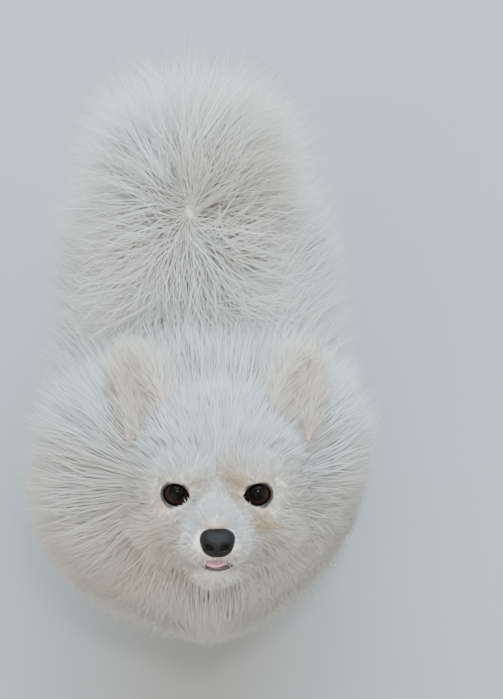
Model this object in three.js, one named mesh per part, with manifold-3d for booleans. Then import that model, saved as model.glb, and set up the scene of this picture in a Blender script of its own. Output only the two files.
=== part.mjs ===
// A young white pomeranian that stands square and looks up: a still figure at life size.
// Millimetres, +Z up. The dog faces -Y, its left side is +X, and the floor is z = 0.

import * as THREE from "three";
import { mergeVertices } from "three/addons/utils/BufferGeometryUtils.js";
import Module from "manifold-3d";

const wasm = await Module();
wasm.setup();

// Driving dimensions

const GAP = 0.3; // space between neighbouring pieces
const COAT_DEPTH = 48; // body coat, from the skin to the tips
const CORE_SHARE = 0.5; // how much of that depth is solid under the locks
const CORE_INSET = COAT_DEPTH * (1 - CORE_SHARE); // the solid core lies this far inside the tips
const EYE_GAP = 41.5; // between the centres of the eyes
const EYE_RADIUS = 9;
const LID_THICK = 1.3;
const EYE_MID = new THREE.Vector3(8, -103, 288); // the point between the eyes
const HEAD_PITCH = THREE.MathUtils.degToRad(63); // how far the muzzle is lifted
const HEAD_YAW = THREE.MathUtils.degToRad(-2.4); // the head turns a little to its right
const HEAD_FLUFF = 4; // head coat that is solid under its locks
const EAR_HEIGHT = 41;
const EAR_WIDTH = 28;
const NOSE_WIDTH = 17.4;
const LEG_OUT = 36; // each paw's distance from the midline
const FORE_PAW_Y = -66;
const HIND_PAW_Y = 84;
const PAW_WIDTH = 29;
const PAW_LENGTH = 36;
const PAW_HEIGHT = 19;
const TAIL_RADIUS = 11;
const FEATHER_DEPTH = 11; // how far the hair of a leg stands out from it
const SEED = 20310;

// Locks of the coat, by the part of the body that grows them: length, width and thickness at the root,
// how far they rise from the surface at the root and at the tip, and the space from one to the next.
const LOCKS = {
  trunk: { length: 54, width: 34, thick: 5.2, rise: turned(46), fall: turned(6), space: 32 },
  ruff: { length: 61, width: 44, thick: 5.6, rise: turned(54), fall: turned(-8), space: 35 },
  head: { length: 31, width: 25, thick: 3.6, rise: turned(40), fall: turned(10), space: 26 },
  leg: { length: 34, width: 18, thick: 4, rise: turned(24), fall: turned(8), space: 18 },
  plume: { length: 86, width: 31, thick: 4.6, rise: turned(24), fall: turned(-24), space: 15 },
};

function turned(degrees) {
  return THREE.MathUtils.degToRad(degrees);
}

// Colours

const FINISH = {
  coat: { color: 0xf0ece2, roughness: 0.9 },
  ear: { color: 0xead9c2, roughness: 0.9 },
  nose: { color: 0x1c1b1e, roughness: 0.45 },
  eye: { color: 0x120d0c, roughness: 0.08 },
  tongue: { color: 0xc98590, roughness: 0.5 },
};

const at = (x, y, z) => new THREE.Vector3(x, y, z);
const clamped = (value) => THREE.MathUtils.clamp(value, 0, 1);

// A seeded random source, the same on every run.
function randomFrom(seed) {
  let state = seed >>> 0;
  return () => {
    state = (state + 0x6d2b79f5) >>> 0;
    let mixed = Math.imul(state ^ (state >>> 15), 1 | state);
    mixed = (mixed + Math.imul(mixed ^ (mixed >>> 7), 61 | mixed)) ^ mixed;
    return ((mixed ^ (mixed >>> 14)) >>> 0) / 4294967296;
  };
}

const random = randomFrom(SEED);
const between = (low, high) => low + (high - low) * random();

// Closed meshes and solids

// A closed body from rings of equal point count, with a fan from each end ring to its pole.
function skinOver(rings, firstPole, lastPole) {
  const count = rings[0].length;
  const points = [firstPole, ...rings.flat(), lastPole];
  const last = points.length - 1;
  const triangles = [];
  for (let k = 0; k < count; k += 1) {
    const next = (k + 1) % count;
    triangles.push([0, 1 + next, 1 + k]);
    for (let ring = 0; ring < rings.length - 1; ring += 1) {
      const low = 1 + ring * count;
      const high = low + count;
      triangles.push([low + k, low + next, high + next]);
      triangles.push([low + k, high + next, high + k]);
    }
    const end = last - count;
    triangles.push([end + k, end + next, last]);
  }
  let volume = 0;
  for (const [a, b, c] of triangles) {
    volume += points[a].dot(points[b].clone().cross(points[c]));
  }
  const index = triangles.flatMap(([a, b, c]) => (volume < 0 ? [a, c, b] : [a, b, c]));
  const geometry = new THREE.BufferGeometry().setFromPoints(points);
  geometry.setIndex(index);
  return geometry;
}

function solidOf(geometry) {
  const bare = geometry.clone();
  bare.deleteAttribute("normal");
  bare.deleteAttribute("uv");
  const merged = mergeVertices(bare, 1e-4);
  return new wasm.Manifold(
    new wasm.Mesh({
      numProp: 3,
      vertProperties: new Float32Array(merged.attributes.position.array),
      triVerts: new Uint32Array(merged.index.array),
    }),
  );
}

const join = (solids) => wasm.Manifold.union(solids);

// The largest closed body of a solid, without scraps or sealed hollows.
function largest(solid) {
  const pieces = solid.decompose().filter((piece) => piece.volume() > 0);
  pieces.sort((a, b) => b.volume() - a.volume());
  return pieces[0];
}

// The solid with every face moved out by the gap, to cut its place in a neighbour.
function roomFor(solid, gap = GAP) {
  const { vertProperties, triVerts, numProp, numVert } = solid.getMesh();
  const corner = (k) => new THREE.Vector3().fromArray(vertProperties, k * numProp);
  const faceNormals = [];
  const normals = Array.from({ length: numVert }, () => new THREE.Vector3());
  for (let t = 0; t < triVerts.length; t += 3) {
    const [a, b, c] = [0, 1, 2].map((k) => corner(triVerts[t + k]));
    const normal = b.sub(a).cross(c.sub(a));
    [0, 1, 2].forEach((k) => normals[triVerts[t + k]].add(normal));
    faceNormals.push(normal.clone().normalize());
  }
  normals.forEach((normal) => normal.normalize());
  const facing = new Array(numVert).fill(1);
  triVerts.forEach((vertex, k) => {
    facing[vertex] = Math.min(facing[vertex], faceNormals[Math.floor(k / 3)].dot(normals[vertex]));
  });
  const position = new Float32Array(numVert * 3);
  normals.forEach((normal, k) => {
    const reach = gap / Math.max(facing[k], 0.35);
    corner(k).addScaledVector(normal, reach).toArray(position, k * 3);
  });
  return new wasm.Manifold(
    new wasm.Mesh({ numProp: 3, vertProperties: position, triVerts: new Uint32Array(triVerts) }),
  );
}

function ball(centre, radii, across = 16, down = 12) {
  const sphere = new THREE.SphereGeometry(1, across, down);
  sphere.rotateX(Math.PI / 2);
  sphere.scale(radii.x, radii.y, radii.z);
  sphere.translate(centre.x, centre.y, centre.z);
  return sphere;
}

// A box from its lowest to its highest corner.
function block(low, high) {
  const size = high.clone().sub(low);
  const box = new THREE.BoxGeometry(size.x, size.y, size.z);
  box.translate(low.x + size.x / 2, low.y + size.y / 2, low.z + size.z / 2);
  return solidOf(box);
}

// Lofts: a body swept through stations, each an oval with its own top and bottom

class Loft {
  // Each station has a centre, an across and an up direction, a half width, and its reach up and down.
  constructor(stations, sides, poles) {
    this.stations = stations;
    this.sides = sides;
    this.poles = poles;
  }

  // The oval of station s at an angle, where a quarter turn is up.
  ringPoint(s, angle, grow = 0) {
    const { centre, across, up, half, top, bottom, power = 2 } = this.stations[s];
    const bend = (value) => Math.sign(value) * Math.abs(value) ** (2 / power);
    const reach = Math.sin(angle) > 0 ? top : bottom;
    return centre
      .clone()
      .addScaledVector(across, bend(Math.cos(angle)) * (half + grow))
      .addScaledVector(up, bend(Math.sin(angle)) * (reach + grow));
  }

  // A point of the surface, s stations along.
  point(s, angle, grow = 0) {
    const low = Math.min(Math.floor(s), this.stations.length - 2);
    return this.ringPoint(low, angle, grow).lerp(this.ringPoint(low + 1, angle, grow), s - low);
  }

  centre(s) {
    const low = Math.min(Math.floor(s), this.stations.length - 2);
    return this.stations[low].centre.clone().lerp(this.stations[low + 1].centre, s - low);
  }

  angles() {
    return Array.from({ length: this.sides }, (_, k) => (2 * Math.PI * (k + 0.5)) / this.sides);
  }

  ring(s, grow = 0) {
    return this.angles().map((angle) => this.point(s, angle, grow));
  }

  // A point of the surface with its outward direction.
  place(s, angle) {
    const step = 0.02;
    const end = this.stations.length - 1;
    const point = this.point(s, angle);
    const along = this.point(Math.min(s + step, end), angle).sub(this.point(Math.max(s - step, 0), angle));
    const around = this.point(s, angle + step).sub(this.point(s, angle - step));
    const out = around.clone().cross(along).normalize();
    if (out.dot(point.clone().sub(this.centre(s))) < 0) out.negate();
    return { point, out };
  }

  // Angles that stand at equal distances round the body, starting part of a step on.
  spread(s, space, shift) {
    const fine = 120;
    const points = Array.from({ length: fine + 1 }, (_, k) => this.point(s, (2 * Math.PI * k) / fine));
    const run = [0];
    for (let k = 1; k <= fine; k += 1) run.push(run[k - 1] + points[k].distanceTo(points[k - 1]));
    const count = Math.max(4, Math.round(run[fine] / space));
    return Array.from({ length: count }, (_, k) => {
      const wanted = ((k + shift) / count) * run[fine];
      const high = Math.max(1, run.findIndex((length) => length >= wanted));
      const share = (wanted - run[high - 1]) / (run[high] - run[high - 1]);
      return (2 * Math.PI * (high - 1 + share)) / fine;
    });
  }

  solid(grow = 0) {
    const rings = this.stations.map((_, s) => this.ring(s, grow));
    return solidOf(skinOver(rings, ...this.poles));
  }
}

// Locks: flat, tapered pieces of coat that leave the surface, bend over and lie along the body

const flatOn = (direction, out) => direction.clone().addScaledVector(out, -direction.dot(out)).normalize();

// The cross section is flat below with a ridge above. It is widest past the root and ends in a point.
function lock(root, out, lie, kind, scale = 1, rise = kind.rise, fall = kind.fall) {
  const length = kind.length * scale * between(0.9, 1.1);
  const width = kind.width * Math.sqrt(scale) * between(0.9, 1.1);
  const thick = kind.thick * Math.sqrt(scale);
  const sway = between(-0.14, 0.14);
  const side = lie.clone().cross(out).normalize();
  const run = lie.clone().addScaledVector(side, sway).normalize();
  const leave = run.clone().multiplyScalar(Math.cos(rise)).addScaledVector(out, Math.sin(rise));
  const settle = run.clone().multiplyScalar(Math.cos(fall)).addScaledVector(out, Math.sin(fall));
  settle.addScaledVector(side, between(-0.16, 0.16)).normalize();
  const bend = root.clone().addScaledVector(leave, length * 0.45);
  const tip = bend.clone().addScaledVector(settle, length * 0.55);
  const path = new THREE.QuadraticBezierCurve3(root, bend, tip);
  const sections = [
    // share of the way, share of the width, share of the thickness
    [0.1, 0.72, 1],
    [0.5, 1, 0.8],
  ];
  const rings = sections.map(([share, wide, deep]) => {
    const middle = path.getPoint(share);
    const ridge = side.clone().cross(path.getTangent(share)).normalize();
    if (ridge.dot(out) < 0) ridge.negate();
    const low = middle.clone().addScaledVector(ridge, -0.4 * thick * deep);
    return [
      low.clone().addScaledVector(side, (width * wide) / 2),
      middle.clone().addScaledVector(ridge, 0.6 * thick * deep),
      low.addScaledVector(side, (-width * wide) / 2),
    ];
  });
  const sunk = root.clone().addScaledVector(leave, -7 * Math.sqrt(scale));
  return solidOf(skinOver(rings, sunk, tip));
}

// Rows of locks on a loft. settings(spot, angle, s) gives the lie, the scale and any other rise and fall,
// or nothing for a bare place.
function lockRows(loft, rows, kind, settings) {
  const locks = [];
  rows.forEach((s, row) => {
    const shift = (row % 2) * 0.5 + between(0, 0.2);
    for (const angle of loft.spread(s, kind.space, shift)) {
      const spot = loft.place(s, angle + between(-0.05, 0.05));
      const choice = settings(spot, angle, s);
      if (!choice) continue;
      const { lie, scale, rise, fall } = choice;
      locks.push(lock(spot.point, spot.out, flatOn(lie, spot.out), kind, scale, rise, fall));
    }
  });
  return locks;
}

// A flat outline moved to its left by an amount, with its corners kept.
function besideOutline(outline, amount) {
  const normalOf = ([x0, y0], [x1, y1]) => {
    const length = Math.hypot(x1 - x0, y1 - y0);
    return [-(y1 - y0) / length, (x1 - x0) / length];
  };
  return outline.map(([x, y], k) => {
    const first = normalOf(outline[Math.max(k - 1, 0)], outline[Math.max(k, 1)]);
    const last = outline.length - 1;
    const second = normalOf(outline[Math.min(k, last - 1)], outline[Math.min(k + 1, last)]);
    const share = amount / (1 + first[0] * second[0] + first[1] * second[1]);
    return [x + share * (first[0] + second[0]), y + share * (first[1] + second[1])];
  });
}

// A flaring room: the oval of a loft carried outward and along, closed by a pole at each end.
// Each step of the profile is how far along its axis and how far outside the loft the room's edge lies.
function flare(loft, s, axis, profile, poles, aside) {
  const rings = besideOutline(profile, aside).map(([along, grow]) =>
    loft.ring(s, grow).map((point) => point.addScaledVector(axis, along)),
  );
  return solidOf(skinOver(rings, ...poles));
}

// The trunk: stations run from the chest to the rump, and each is upright across the body.
// inset draws it in from the tips of the coat.
function trunkLoft(inset) {
  const upright = [
    // y, half width, top z, bottom z
    [-143, 40, 208, 118],
    [-128, 70, 228, 96],
    [-104, 90, 240, 80],
    [-74, 98, 246, 70],
    [-42, 96, 246, 66],
    [-6, 90, 242, 64],
    [34, 87, 239, 62],
    [72, 87, 238, 60],
    [108, 86, 234, 60],
    [136, 74, 222, 68],
    [155, 50, 204, 88],
  ];
  const shrink = (y) => y * (1 - inset / 170);
  const stations = upright.map(([y, half, topZ, bottomZ]) => {
    const middle = (topZ + bottomZ) / 2;
    const reach = Math.max((topZ - bottomZ) / 2 - inset, 12);
    return {
      centre: at(0, shrink(y), middle),
      across: at(1, 0, 0),
      up: at(0, 0, 1),
      half: half - inset * Math.min(1, half / 80),
      top: reach,
      bottom: reach,
      power: 2.15,
    };
  });
  return new Loft(stations, 18, [at(0, shrink(-152), 162), at(0, shrink(170), 150)]);
}

// How many stations along the trunk a y lies.
function trunkStation(loft, y) {
  const next = loft.stations.findIndex(({ centre }) => centre.y > y);
  const [low, high] = [loft.stations[next - 1].centre.y, loft.stations[next].centre.y];
  return next - 1 + (y - low) / (high - low);
}

// The neck rises from the shoulders to the back of the head.
const NECK_LOW = at(3, -62, 168);
const NECK_HIGH = at(8, -84, 262);
const NECK_AXIS = NECK_HIGH.clone().sub(NECK_LOW).normalize();

function neckLoft(inset) {
  const side = at(1, 0, 0);
  const back = side.clone().cross(NECK_AXIS).normalize().negate();
  const rise = [
    // share of the way up, half width, reach back, reach forward
    [0, 92, 70, 84],
    [0.3, 96, 74, 86],
    [0.55, 94, 72, 80],
    [0.8, 84, 62, 66],
    [1, 64, 46, 48],
  ];
  const stations = rise.map(([share, half, rear, front]) => ({
    centre: NECK_LOW.clone().lerp(NECK_HIGH, share),
    across: side,
    up: back,
    half: half - inset,
    top: rear - inset,
    bottom: front - inset,
  }));
  return new Loft(stations, 18, [NECK_LOW, NECK_HIGH.clone().addScaledVector(NECK_AXIS, 6)]);
}

// The head is modelled level, facing -Y, about the point between the eyes, and is then lifted.
const HEAD_PLACE = new THREE.Matrix4()
  .makeTranslation(EYE_MID.x, EYE_MID.y, EYE_MID.z)
  .multiply(new THREE.Matrix4().makeRotationZ(HEAD_YAW))
  .multiply(new THREE.Matrix4().makeRotationX(-HEAD_PITCH));

function headLoft(fluff) {
  const profile = [
    // how far forward of the eyes, half width, top, bottom, share of the fluff worn there
    [-60, 27, 22, -26, 1],
    [-49, 36, 31, -33, 1],
    [-34, 41, 35, -37, 1],
    [-20, 41, 33, -37, 1],
    [-10, 38, 27, -36, 0.8],
    [-3, 33.5, 18, -35, 0.5],
    [3, 28, 8, -35, 0.25],
    [9, 23.5, 0, -36, 0.1],
    [16, 20.5, -5, -37, 0],
    [23, 18.5, -8, -37, 0],
    [29, 16, -10.5, -35.5, 0],
    [33, 11.5, -14, -32, 0],
  ];
  const stations = profile.map(([forward, half, top, bottom, share]) => {
    const middle = (top + bottom) / 2;
    const reach = (top - bottom) / 2 + fluff * share;
    return {
      centre: at(0, -forward, middle),
      across: at(1, 0, 0),
      up: at(0, 0, 1),
      half: half + fluff * share,
      top: reach,
      bottom: reach,
      power: 2.2,
    };
  });
  return new Loft(stations, 20, [at(0, 66, 0), at(0, -35.5, -23)]);
}

const EYE_LOCAL = [1, -1].map((side) => at((side * EYE_GAP) / 2, 4.2, 0.6));

function eyeball(side, radius = EYE_RADIUS) {
  return solidOf(ball(EYE_LOCAL[side], at(radius, radius, radius), 14, 9));
}

// The opening between the lids, an almond that slants up to its outer corner.
function eyeOpening(side) {
  const sign = side === 0 ? 1 : -1;
  const halfWide = 7.4;
  const halfHigh = 6.2;
  const outline = new THREE.Shape();
  outline.moveTo(-halfWide - 1.2, -1);
  outline.quadraticCurveTo(-halfWide * 0.4, halfHigh * 1.55, halfWide, 1.6);
  outline.quadraticCurveTo(halfWide * 0.5, -halfHigh * 1.9, -halfWide - 1.2, -1);
  const bar = new THREE.ExtrudeGeometry(outline, { depth: 20, bevelEnabled: false, curveSegments: 5 });
  bar.rotateX(Math.PI / 2);
  bar.rotateY(turned(-10));
  if (sign < 0) bar.scale(-1, 1, 1);
  bar.rotateZ(sign * turned(12));
  bar.translate(EYE_LOCAL[side].x, EYE_LOCAL[side].y, EYE_LOCAL[side].z);
  if (sign < 0) flip(bar);
  return solidOf(bar);
}

// Turns every face of a mirrored mesh the right way round.
function flip(geometry) {
  const position = geometry.getAttribute("position");
  const index = geometry.index;
  const count = index ? index.count : position.count;
  const order = Array.from({ length: count }, (_, k) => (index ? index.getX(k) : k));
  for (let k = 0; k < count; k += 3) {
    [order[k + 1], order[k + 2]] = [order[k + 2], order[k + 1]];
  }
  geometry.setIndex(order);
}

// The nose leather: broad above, narrow below.
function noseSolid() {
  const nose = ball(at(0, 0, 0), at(NOSE_WIDTH / 2, 7.5, 7), 14, 8);
  const position = nose.getAttribute("position");
  for (let k = 0; k < position.count; k += 1) {
    const height = position.getZ(k) / 7;
    position.setX(k, position.getX(k) * (1 + 0.16 * height));
  }
  nose.translate(0, -30.5, -17.5);
  return solidOf(nose);
}

function nostrils() {
  const cuts = [1, -1].map((side) => {
    const hole = ball(at(0, 0, 0), at(2.6, 4, 1.5), 8, 6);
    hole.rotateZ(side * turned(-20));
    hole.rotateY(side * turned(-18));
    hole.translate(side * 4.1, -37.2, -19);
    return solidOf(hole);
  });
  return join(cuts);
}

function tongueSolid() {
  return solidOf(ball(at(0, -20, -31.2), at(9, 12.5, 1.9), 12, 6));
}

// The gap between the lips, a wedge that narrows to the corners of the mouth.
function mouthGap() {
  const side = new THREE.Shape([
    new THREE.Vector2(7, -31.6),
    new THREE.Vector2(40, -33.2),
    new THREE.Vector2(40, -28.2),
  ]);
  const wedge = new THREE.ExtrudeGeometry(side, { depth: 60, bevelEnabled: false });
  wedge.rotateX(Math.PI / 2);
  wedge.rotateZ(-Math.PI / 2);
  wedge.translate(30, 0, 0);
  return solidOf(wedge);
}

// Locks of the cheeks, forehead and crown, which leave the face and lie back along the skull.
function headLocks(loft) {
  const back = at(0, 1, 0);
  const rows = [2.15, 3, 4.1];
  return lockRows(loft, rows, LOCKS.head, ({ point, out }, angle, s) => {
    const brow = point.z > 8 && Math.abs(point.x) < 30;
    if (s > 4 && brow) return null;
    const lie = back.clone().addScaledVector(out, 0.2).add(at(0, 0, brow ? 0 : -0.35));
    return { lie, scale: s > 4 ? 0.8 : 1 };
  });
}

// The room that the head and its locks fill, down to the fold where the ruff begins.
function headRoomSolid(loft, grow) {
  const back = at(0, 1, 0);
  const profile = [
    [26, -6],
    [8, 0],
    [0, 0],
    [7, 7],
    [20, 14],
    [38, 19],
    [41, 25],
    [-40, 27],
    [-96, 20],
  ];
  return flare(loft, 2, back, profile, [at(0, 66 + grow, 0), at(0, -70, 0)], -grow);
}

function headSolid() {
  const lids = [0, 1].map((side) => eyeball(side, EYE_RADIUS + LID_THICK));
  const loft = headLoft(HEAD_FLUFF);
  const flesh = join([loft.solid(), ...lids]);
  return { loft, flesh, furred: join([flesh, ...headLocks(loft)]) };
}

// Meshes and their places

const model = new THREE.Group();

function addNode(name, solid, finish) {
  const { vertProperties, triVerts, numProp, numVert } = largest(solid).simplify(0.03).getMesh();
  const position = new Float32Array(numVert * 3);
  for (let k = 0; k < numVert; k += 1) {
    position.set(vertProperties.subarray(k * numProp, k * numProp + 3), k * 3);
  }
  const geometry = new THREE.BufferGeometry();
  geometry.setAttribute("position", new THREE.BufferAttribute(position, 3));
  geometry.setIndex(new THREE.BufferAttribute(new Uint32Array(triVerts), 1));
  geometry.computeVertexNormals();
  const mesh = new THREE.Mesh(geometry, new THREE.MeshStandardMaterial({ ...finish, metalness: 0 }));
  mesh.name = name;
  model.add(mesh);
}

function moved(solid, matrix) {
  return solid.transform([...matrix.elements]);
}

// An ear: a cupped leaf with a rounded tip, open to the front.
function earSolid(side) {
  const arcPoints = 7;
  const levels = [
    // share of the height, share of the width, cup depth
    [-0.3, 0.98, 11],
    [0, 1, 10],
    [0.3, 0.96, 8],
    [0.58, 0.8, 6],
    [0.8, 0.56, 4],
    [0.95, 0.28, 2.2],
  ];
  const wall = 3.8;
  const rings = levels.map(([rise, share, cup]) => {
    const half = (EAR_WIDTH / 2) * share;
    const spread = Array.from({ length: arcPoints }, (_, k) => -1 + (2 * k) / (arcPoints - 1));
    const rear = spread.map((u) => at(u * half, cup * (1 - u * u) + wall / 2, rise * EAR_HEIGHT));
    const inner = spread.map((u) => at(u * half * 0.9, cup * (1 - u * u) - wall / 2, rise * EAR_HEIGHT));
    return [...rear, ...inner.reverse()];
  });
  const ear = skinOver(rings, at(0, 5, -0.3 * EAR_HEIGHT), at(0, 0.6, EAR_HEIGHT));
  ear.rotateX(turned(-8));
  ear.rotateZ(side * turned(16));
  ear.rotateY(side * turned(9));
  ear.translate(side * 37, 36, 36);
  return solidOf(ear);
}

// Legs: each a loft down through named joints, with feathering behind

function legLoft(joints, sides = 12) {
  const stations = joints.map(([x, y, z, half, front, rear]) => ({
    centre: at(x, y, z),
    across: at(1, 0, 0),
    up: at(0, 1, 0),
    half,
    top: rear,
    bottom: front,
  }));
  const first = stations[0].centre;
  const last = stations[stations.length - 1].centre;
  return new Loft(stations, sides, [first.clone().add(at(0, 0, 1)), last.clone().add(at(0, 0, -1))]);
}

function foreleg(side) {
  const x = side * LEG_OUT;
  return legLoft([
    [x * 0.92, FORE_PAW_Y + 10, 130, 20, 20, 22],
    [x * 0.96, FORE_PAW_Y + 9, 96, 17, 16, 20],
    [x, FORE_PAW_Y + 7, 62, 13.5, 12.5, 16],
    [x, FORE_PAW_Y + 6, 36, 12, 11, 12],
    [x, FORE_PAW_Y + 4, PAW_HEIGHT, 12, 11.5, 11],
  ]);
}

function hindleg(side) {
  const x = side * LEG_OUT;
  return legLoft([
    [x * 0.86, HIND_PAW_Y - 14, 140, 20, 26, 26],
    [x * 0.94, HIND_PAW_Y - 14, 106, 22, 27, 28],
    [x * 1.02, HIND_PAW_Y + 2, 74, 18, 20, 23],
    [x * 1.02, HIND_PAW_Y + 14, 52, 12.5, 12, 13],
    [x, HIND_PAW_Y + 8, 34, 11.5, 11, 11.5],
    [x, HIND_PAW_Y + 4, PAW_HEIGHT, 12, 11.5, 11],
  ]);
}

// Feathering down the back and outer side of a leg. rows are stations of its loft, from the top down.
function featherLocks(loft, rows, side) {
  return lockRows(loft, rows, LOCKS.leg, ({ out }, angle, s) => {
    if (out.y < -0.3 && s > rows[0]) return null;
    return { lie: at(side * 0.1, 0.35, -1), scale: s > rows[0] ? 0.85 : 1.1 };
  });
}

// A paw: a pad under four toes, cut flat where it stands.
function paw(side, y) {
  const x = side * LEG_OUT;
  const pad = ball(at(x, y + 3, 8.5), at(PAW_WIDTH * 0.47, PAW_LENGTH * 0.42, 11.5), 9, 6);
  const pieces = [solidOf(pad)];
  for (let toe = 0; toe < 4; toe += 1) {
    const out = (toe - 1.5) / 1.5;
    const reach = PAW_LENGTH * (0.33 - 0.09 * out * out);
    const toeX = x + out * PAW_WIDTH * 0.33;
    pieces.push(solidOf(ball(at(toeX, y - reach, 6.6), at(5.6, 8.8, 8), 6, 5)));
  }
  const room = block(at(x - 40, y - 60, 0), at(x + 40, y + 60, PAW_HEIGHT - GAP));
  return join(pieces).intersect(room);
}

// The tail rises from the rump and lies forward along the back.
const TAIL_LINE = new THREE.CatmullRomCurve3([
  at(0, 108, 196),
  at(0, 125, 224),
  at(-1, 111, 245),
  at(-3, 78, 251),
  at(-5, 32, 248),
]);

function tailLoft(extra) {
  const steps = 7;
  const stations = Array.from({ length: steps }, (_, k) => {
    const share = k / (steps - 1);
    const along = TAIL_LINE.getTangentAt(share);
    const across = at(1, 0, 0);
    const taper = Math.sqrt(Math.max(1 - share * 0.75, 0.1));
    return {
      centre: TAIL_LINE.getPointAt(share),
      across,
      up: across.clone().cross(along).normalize(),
      half: (TAIL_RADIUS + extra.wide) * taper,
      top: (TAIL_RADIUS + extra.high) * taper,
      bottom: (TAIL_RADIUS + extra.high) * taper,
    };
  });
  const tip = TAIL_LINE.getPointAt(1).add(at(0, -8, 0));
  return new Loft(stations, 12, [TAIL_LINE.getPointAt(0), tip]);
}

// The plume: long locks from both sides of the tail, which fan out, curve over and droop to the flanks.
function plumeLocks() {
  const count = 12;
  const locks = [];
  for (let k = 0; k < count; k += 1) {
    const share = 0.3 + (0.7 * k) / (count - 1);
    const root = TAIL_LINE.getPointAt(share);
    const forward = TAIL_LINE.getTangentAt(share);
    for (const side of [1, -1]) {
      const fan = THREE.MathUtils.lerp(-0.75, 0.85, share + between(-0.06, 0.06));
      const out = at(side * 0.35, 0, 1).normalize();
      const lie = flatOn(at(side, -fan, -0.12), out);
      const start = root.clone().addScaledVector(at(side, 0, 0), 5).add(at(0, 0, 3 + 3 * (k % 2)));
      locks.push(lock(start, out, lie, LOCKS.plume, between(0.92, 1.04)));
    }
    if (k % 3 === 1) {
      const up = at(0, 0, 1);
      const top = root.clone().add(at(0, 0, 6));
      locks.push(lock(top, up, flatOn(forward.add(at(between(-0.5, 0.5), 0, 0)), up), LOCKS.plume, 0.6));
    }
  }
  return locks;
}

// The room over the back that the tail and its plume fill.
function tailRoomSolid(grow) {
  const spine = [
    // y, half width, height of the underside at the middle
    [154, 44, 206],
    [140, 84, 212],
    [110, 106, 228],
    [70, 108, 233],
    [20, 102, 235],
    [-16, 74, 238],
  ];
  const rings = spine.map(([y, half, z]) => {
    const across = Array.from({ length: 9 }, (_, k) => -1 + k / 4);
    const under = across.map((u) => at(u * half, y, z - 56 * u * u - grow));
    const over = across.map((u) => at(u * half, y, 300 - 20 * u * u));
    return [...under, ...over.reverse()];
  });
  const middleOf = (y) => at(0, y, 262);
  return solidOf(skinOver(rings, middleOf(160 + grow), middleOf(-20 - grow)));
}

// Assembly

const SIDES = [
  ["left", 1],
  ["right", -1],
];

const eyes = [0, 1].map((side) => eyeball(side));
const nose = noseSolid();
const tongue = tongueSolid();
const head = headSolid();
const earsLevel = SIDES.map(([, side]) => earSolid(side));
const headCarved = head.furred
  .subtract(join([...eyes, nose, tongue].map((piece) => roomFor(piece))))
  .subtract(join([eyeOpening(0), eyeOpening(1)]))
  .subtract(mouthGap())
  .subtract(join(earsLevel.map((ear) => roomFor(ear, 3 * GAP))).subtract(roomFor(head.flesh)))
  .intersect(headRoomSolid(head.loft, 0));
const headRoom = moved(headRoomSolid(head.loft, 2 * GAP).add(roomFor(head.flesh, 2 * GAP)), HEAD_PLACE);
addNode("head", moved(headCarved, HEAD_PLACE), FINISH.coat);
addNode("nose", moved(nose.subtract(nostrils()), HEAD_PLACE), FINISH.nose);
addNode("tongue", moved(tongue, HEAD_PLACE), FINISH.tongue);
const earRooms = SIDES.map(([name], k) => {
  addNode(`eye_${name}`, moved(eyes[k], HEAD_PLACE), FINISH.eye);
  const ear = earsLevel[k].subtract(roomFor(head.flesh));
  addNode(`ear_${name}`, moved(ear, HEAD_PLACE), FINISH.ear);
  return roomFor(moved(earsLevel[k], HEAD_PLACE), 3 * GAP);
});

// The ruff grows from the neck, radiates from the face and hangs over the shoulders and chest.
const neckCore = neckLoft(CORE_INSET);
const ruffLocks = lockRows(neckCore, [0.3, 1.3, 2.1, 2.75, 3.25], LOCKS.ruff, ({ out }, angle, s) => {
  const lie = NECK_AXIS.clone().negate().addScaledVector(out, 0.3);
  const front = clamped(-out.y);
  if (s < 2 && out.y > 0.35) return null;
  const scale = s > 2.5 ? 0.74 : 0.92 + 0.12 * front;
  if (out.y > 0.3) return { lie, scale, rise: turned(74), fall: turned(46) };
  return { lie, scale, rise: s > 2.5 ? turned(38) : LOCKS.ruff.rise };
});

// The saddle of the withers, where the coat of the back comes up under the ruff.
function withersSolid(shrink) {
  const spine = [
    // y, height
    [-28, 215],
    [-18, 223],
    [0, 229],
    [20, 234],
    [46, 238],
    [60, 239],
  ];
  const rings = spine.map(([y, z]) => {
    const over = Array.from({ length: 9 }, (_, k) => -1 + k / 4);
    const arch = over.map((u) => at(u * 110, y + shrink, z - shrink - 34 * u * u));
    return [...arch, at(110, y + shrink, 60), at(-110, y + shrink, 60)];
  });
  return solidOf(skinOver(rings, at(0, -28 + shrink, 140), at(0, 61, 140)));
}

// The room of the ruff: its edge hangs out and down round the shoulders.
function ruffRoomSolid(grow) {
  const profile = [
    [4, 0],
    [18, 0],
    [13, 8],
    [2, 17],
    [-16, 24],
    [-40, 30],
    [-44, 52],
    [112, 52],
  ];
  const poles = [NECK_LOW, NECK_HIGH.clone().addScaledVector(NECK_AXIS, 40)];
  return flare(neckCore, 0, NECK_AXIS, profile, poles, grow).subtract(withersSolid(grow));
}

const trunkCore = trunkLoft(CORE_INSET);
const trunkFlesh = trunkCore.solid();
const coreRoom = roomFor(trunkFlesh);
const neckFlesh = neckCore.solid();
const ruff = join(ruffLocks).intersect(ruffRoomSolid(0)).subtract(coreRoom);
addNode("neck", join([neckFlesh, ruff]).subtract(join([headRoom, ...earRooms])), FINISH.coat);
const neckRoom = ruffRoomSolid(GAP).subtract(trunkFlesh).add(roomFor(neckFlesh));

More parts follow.
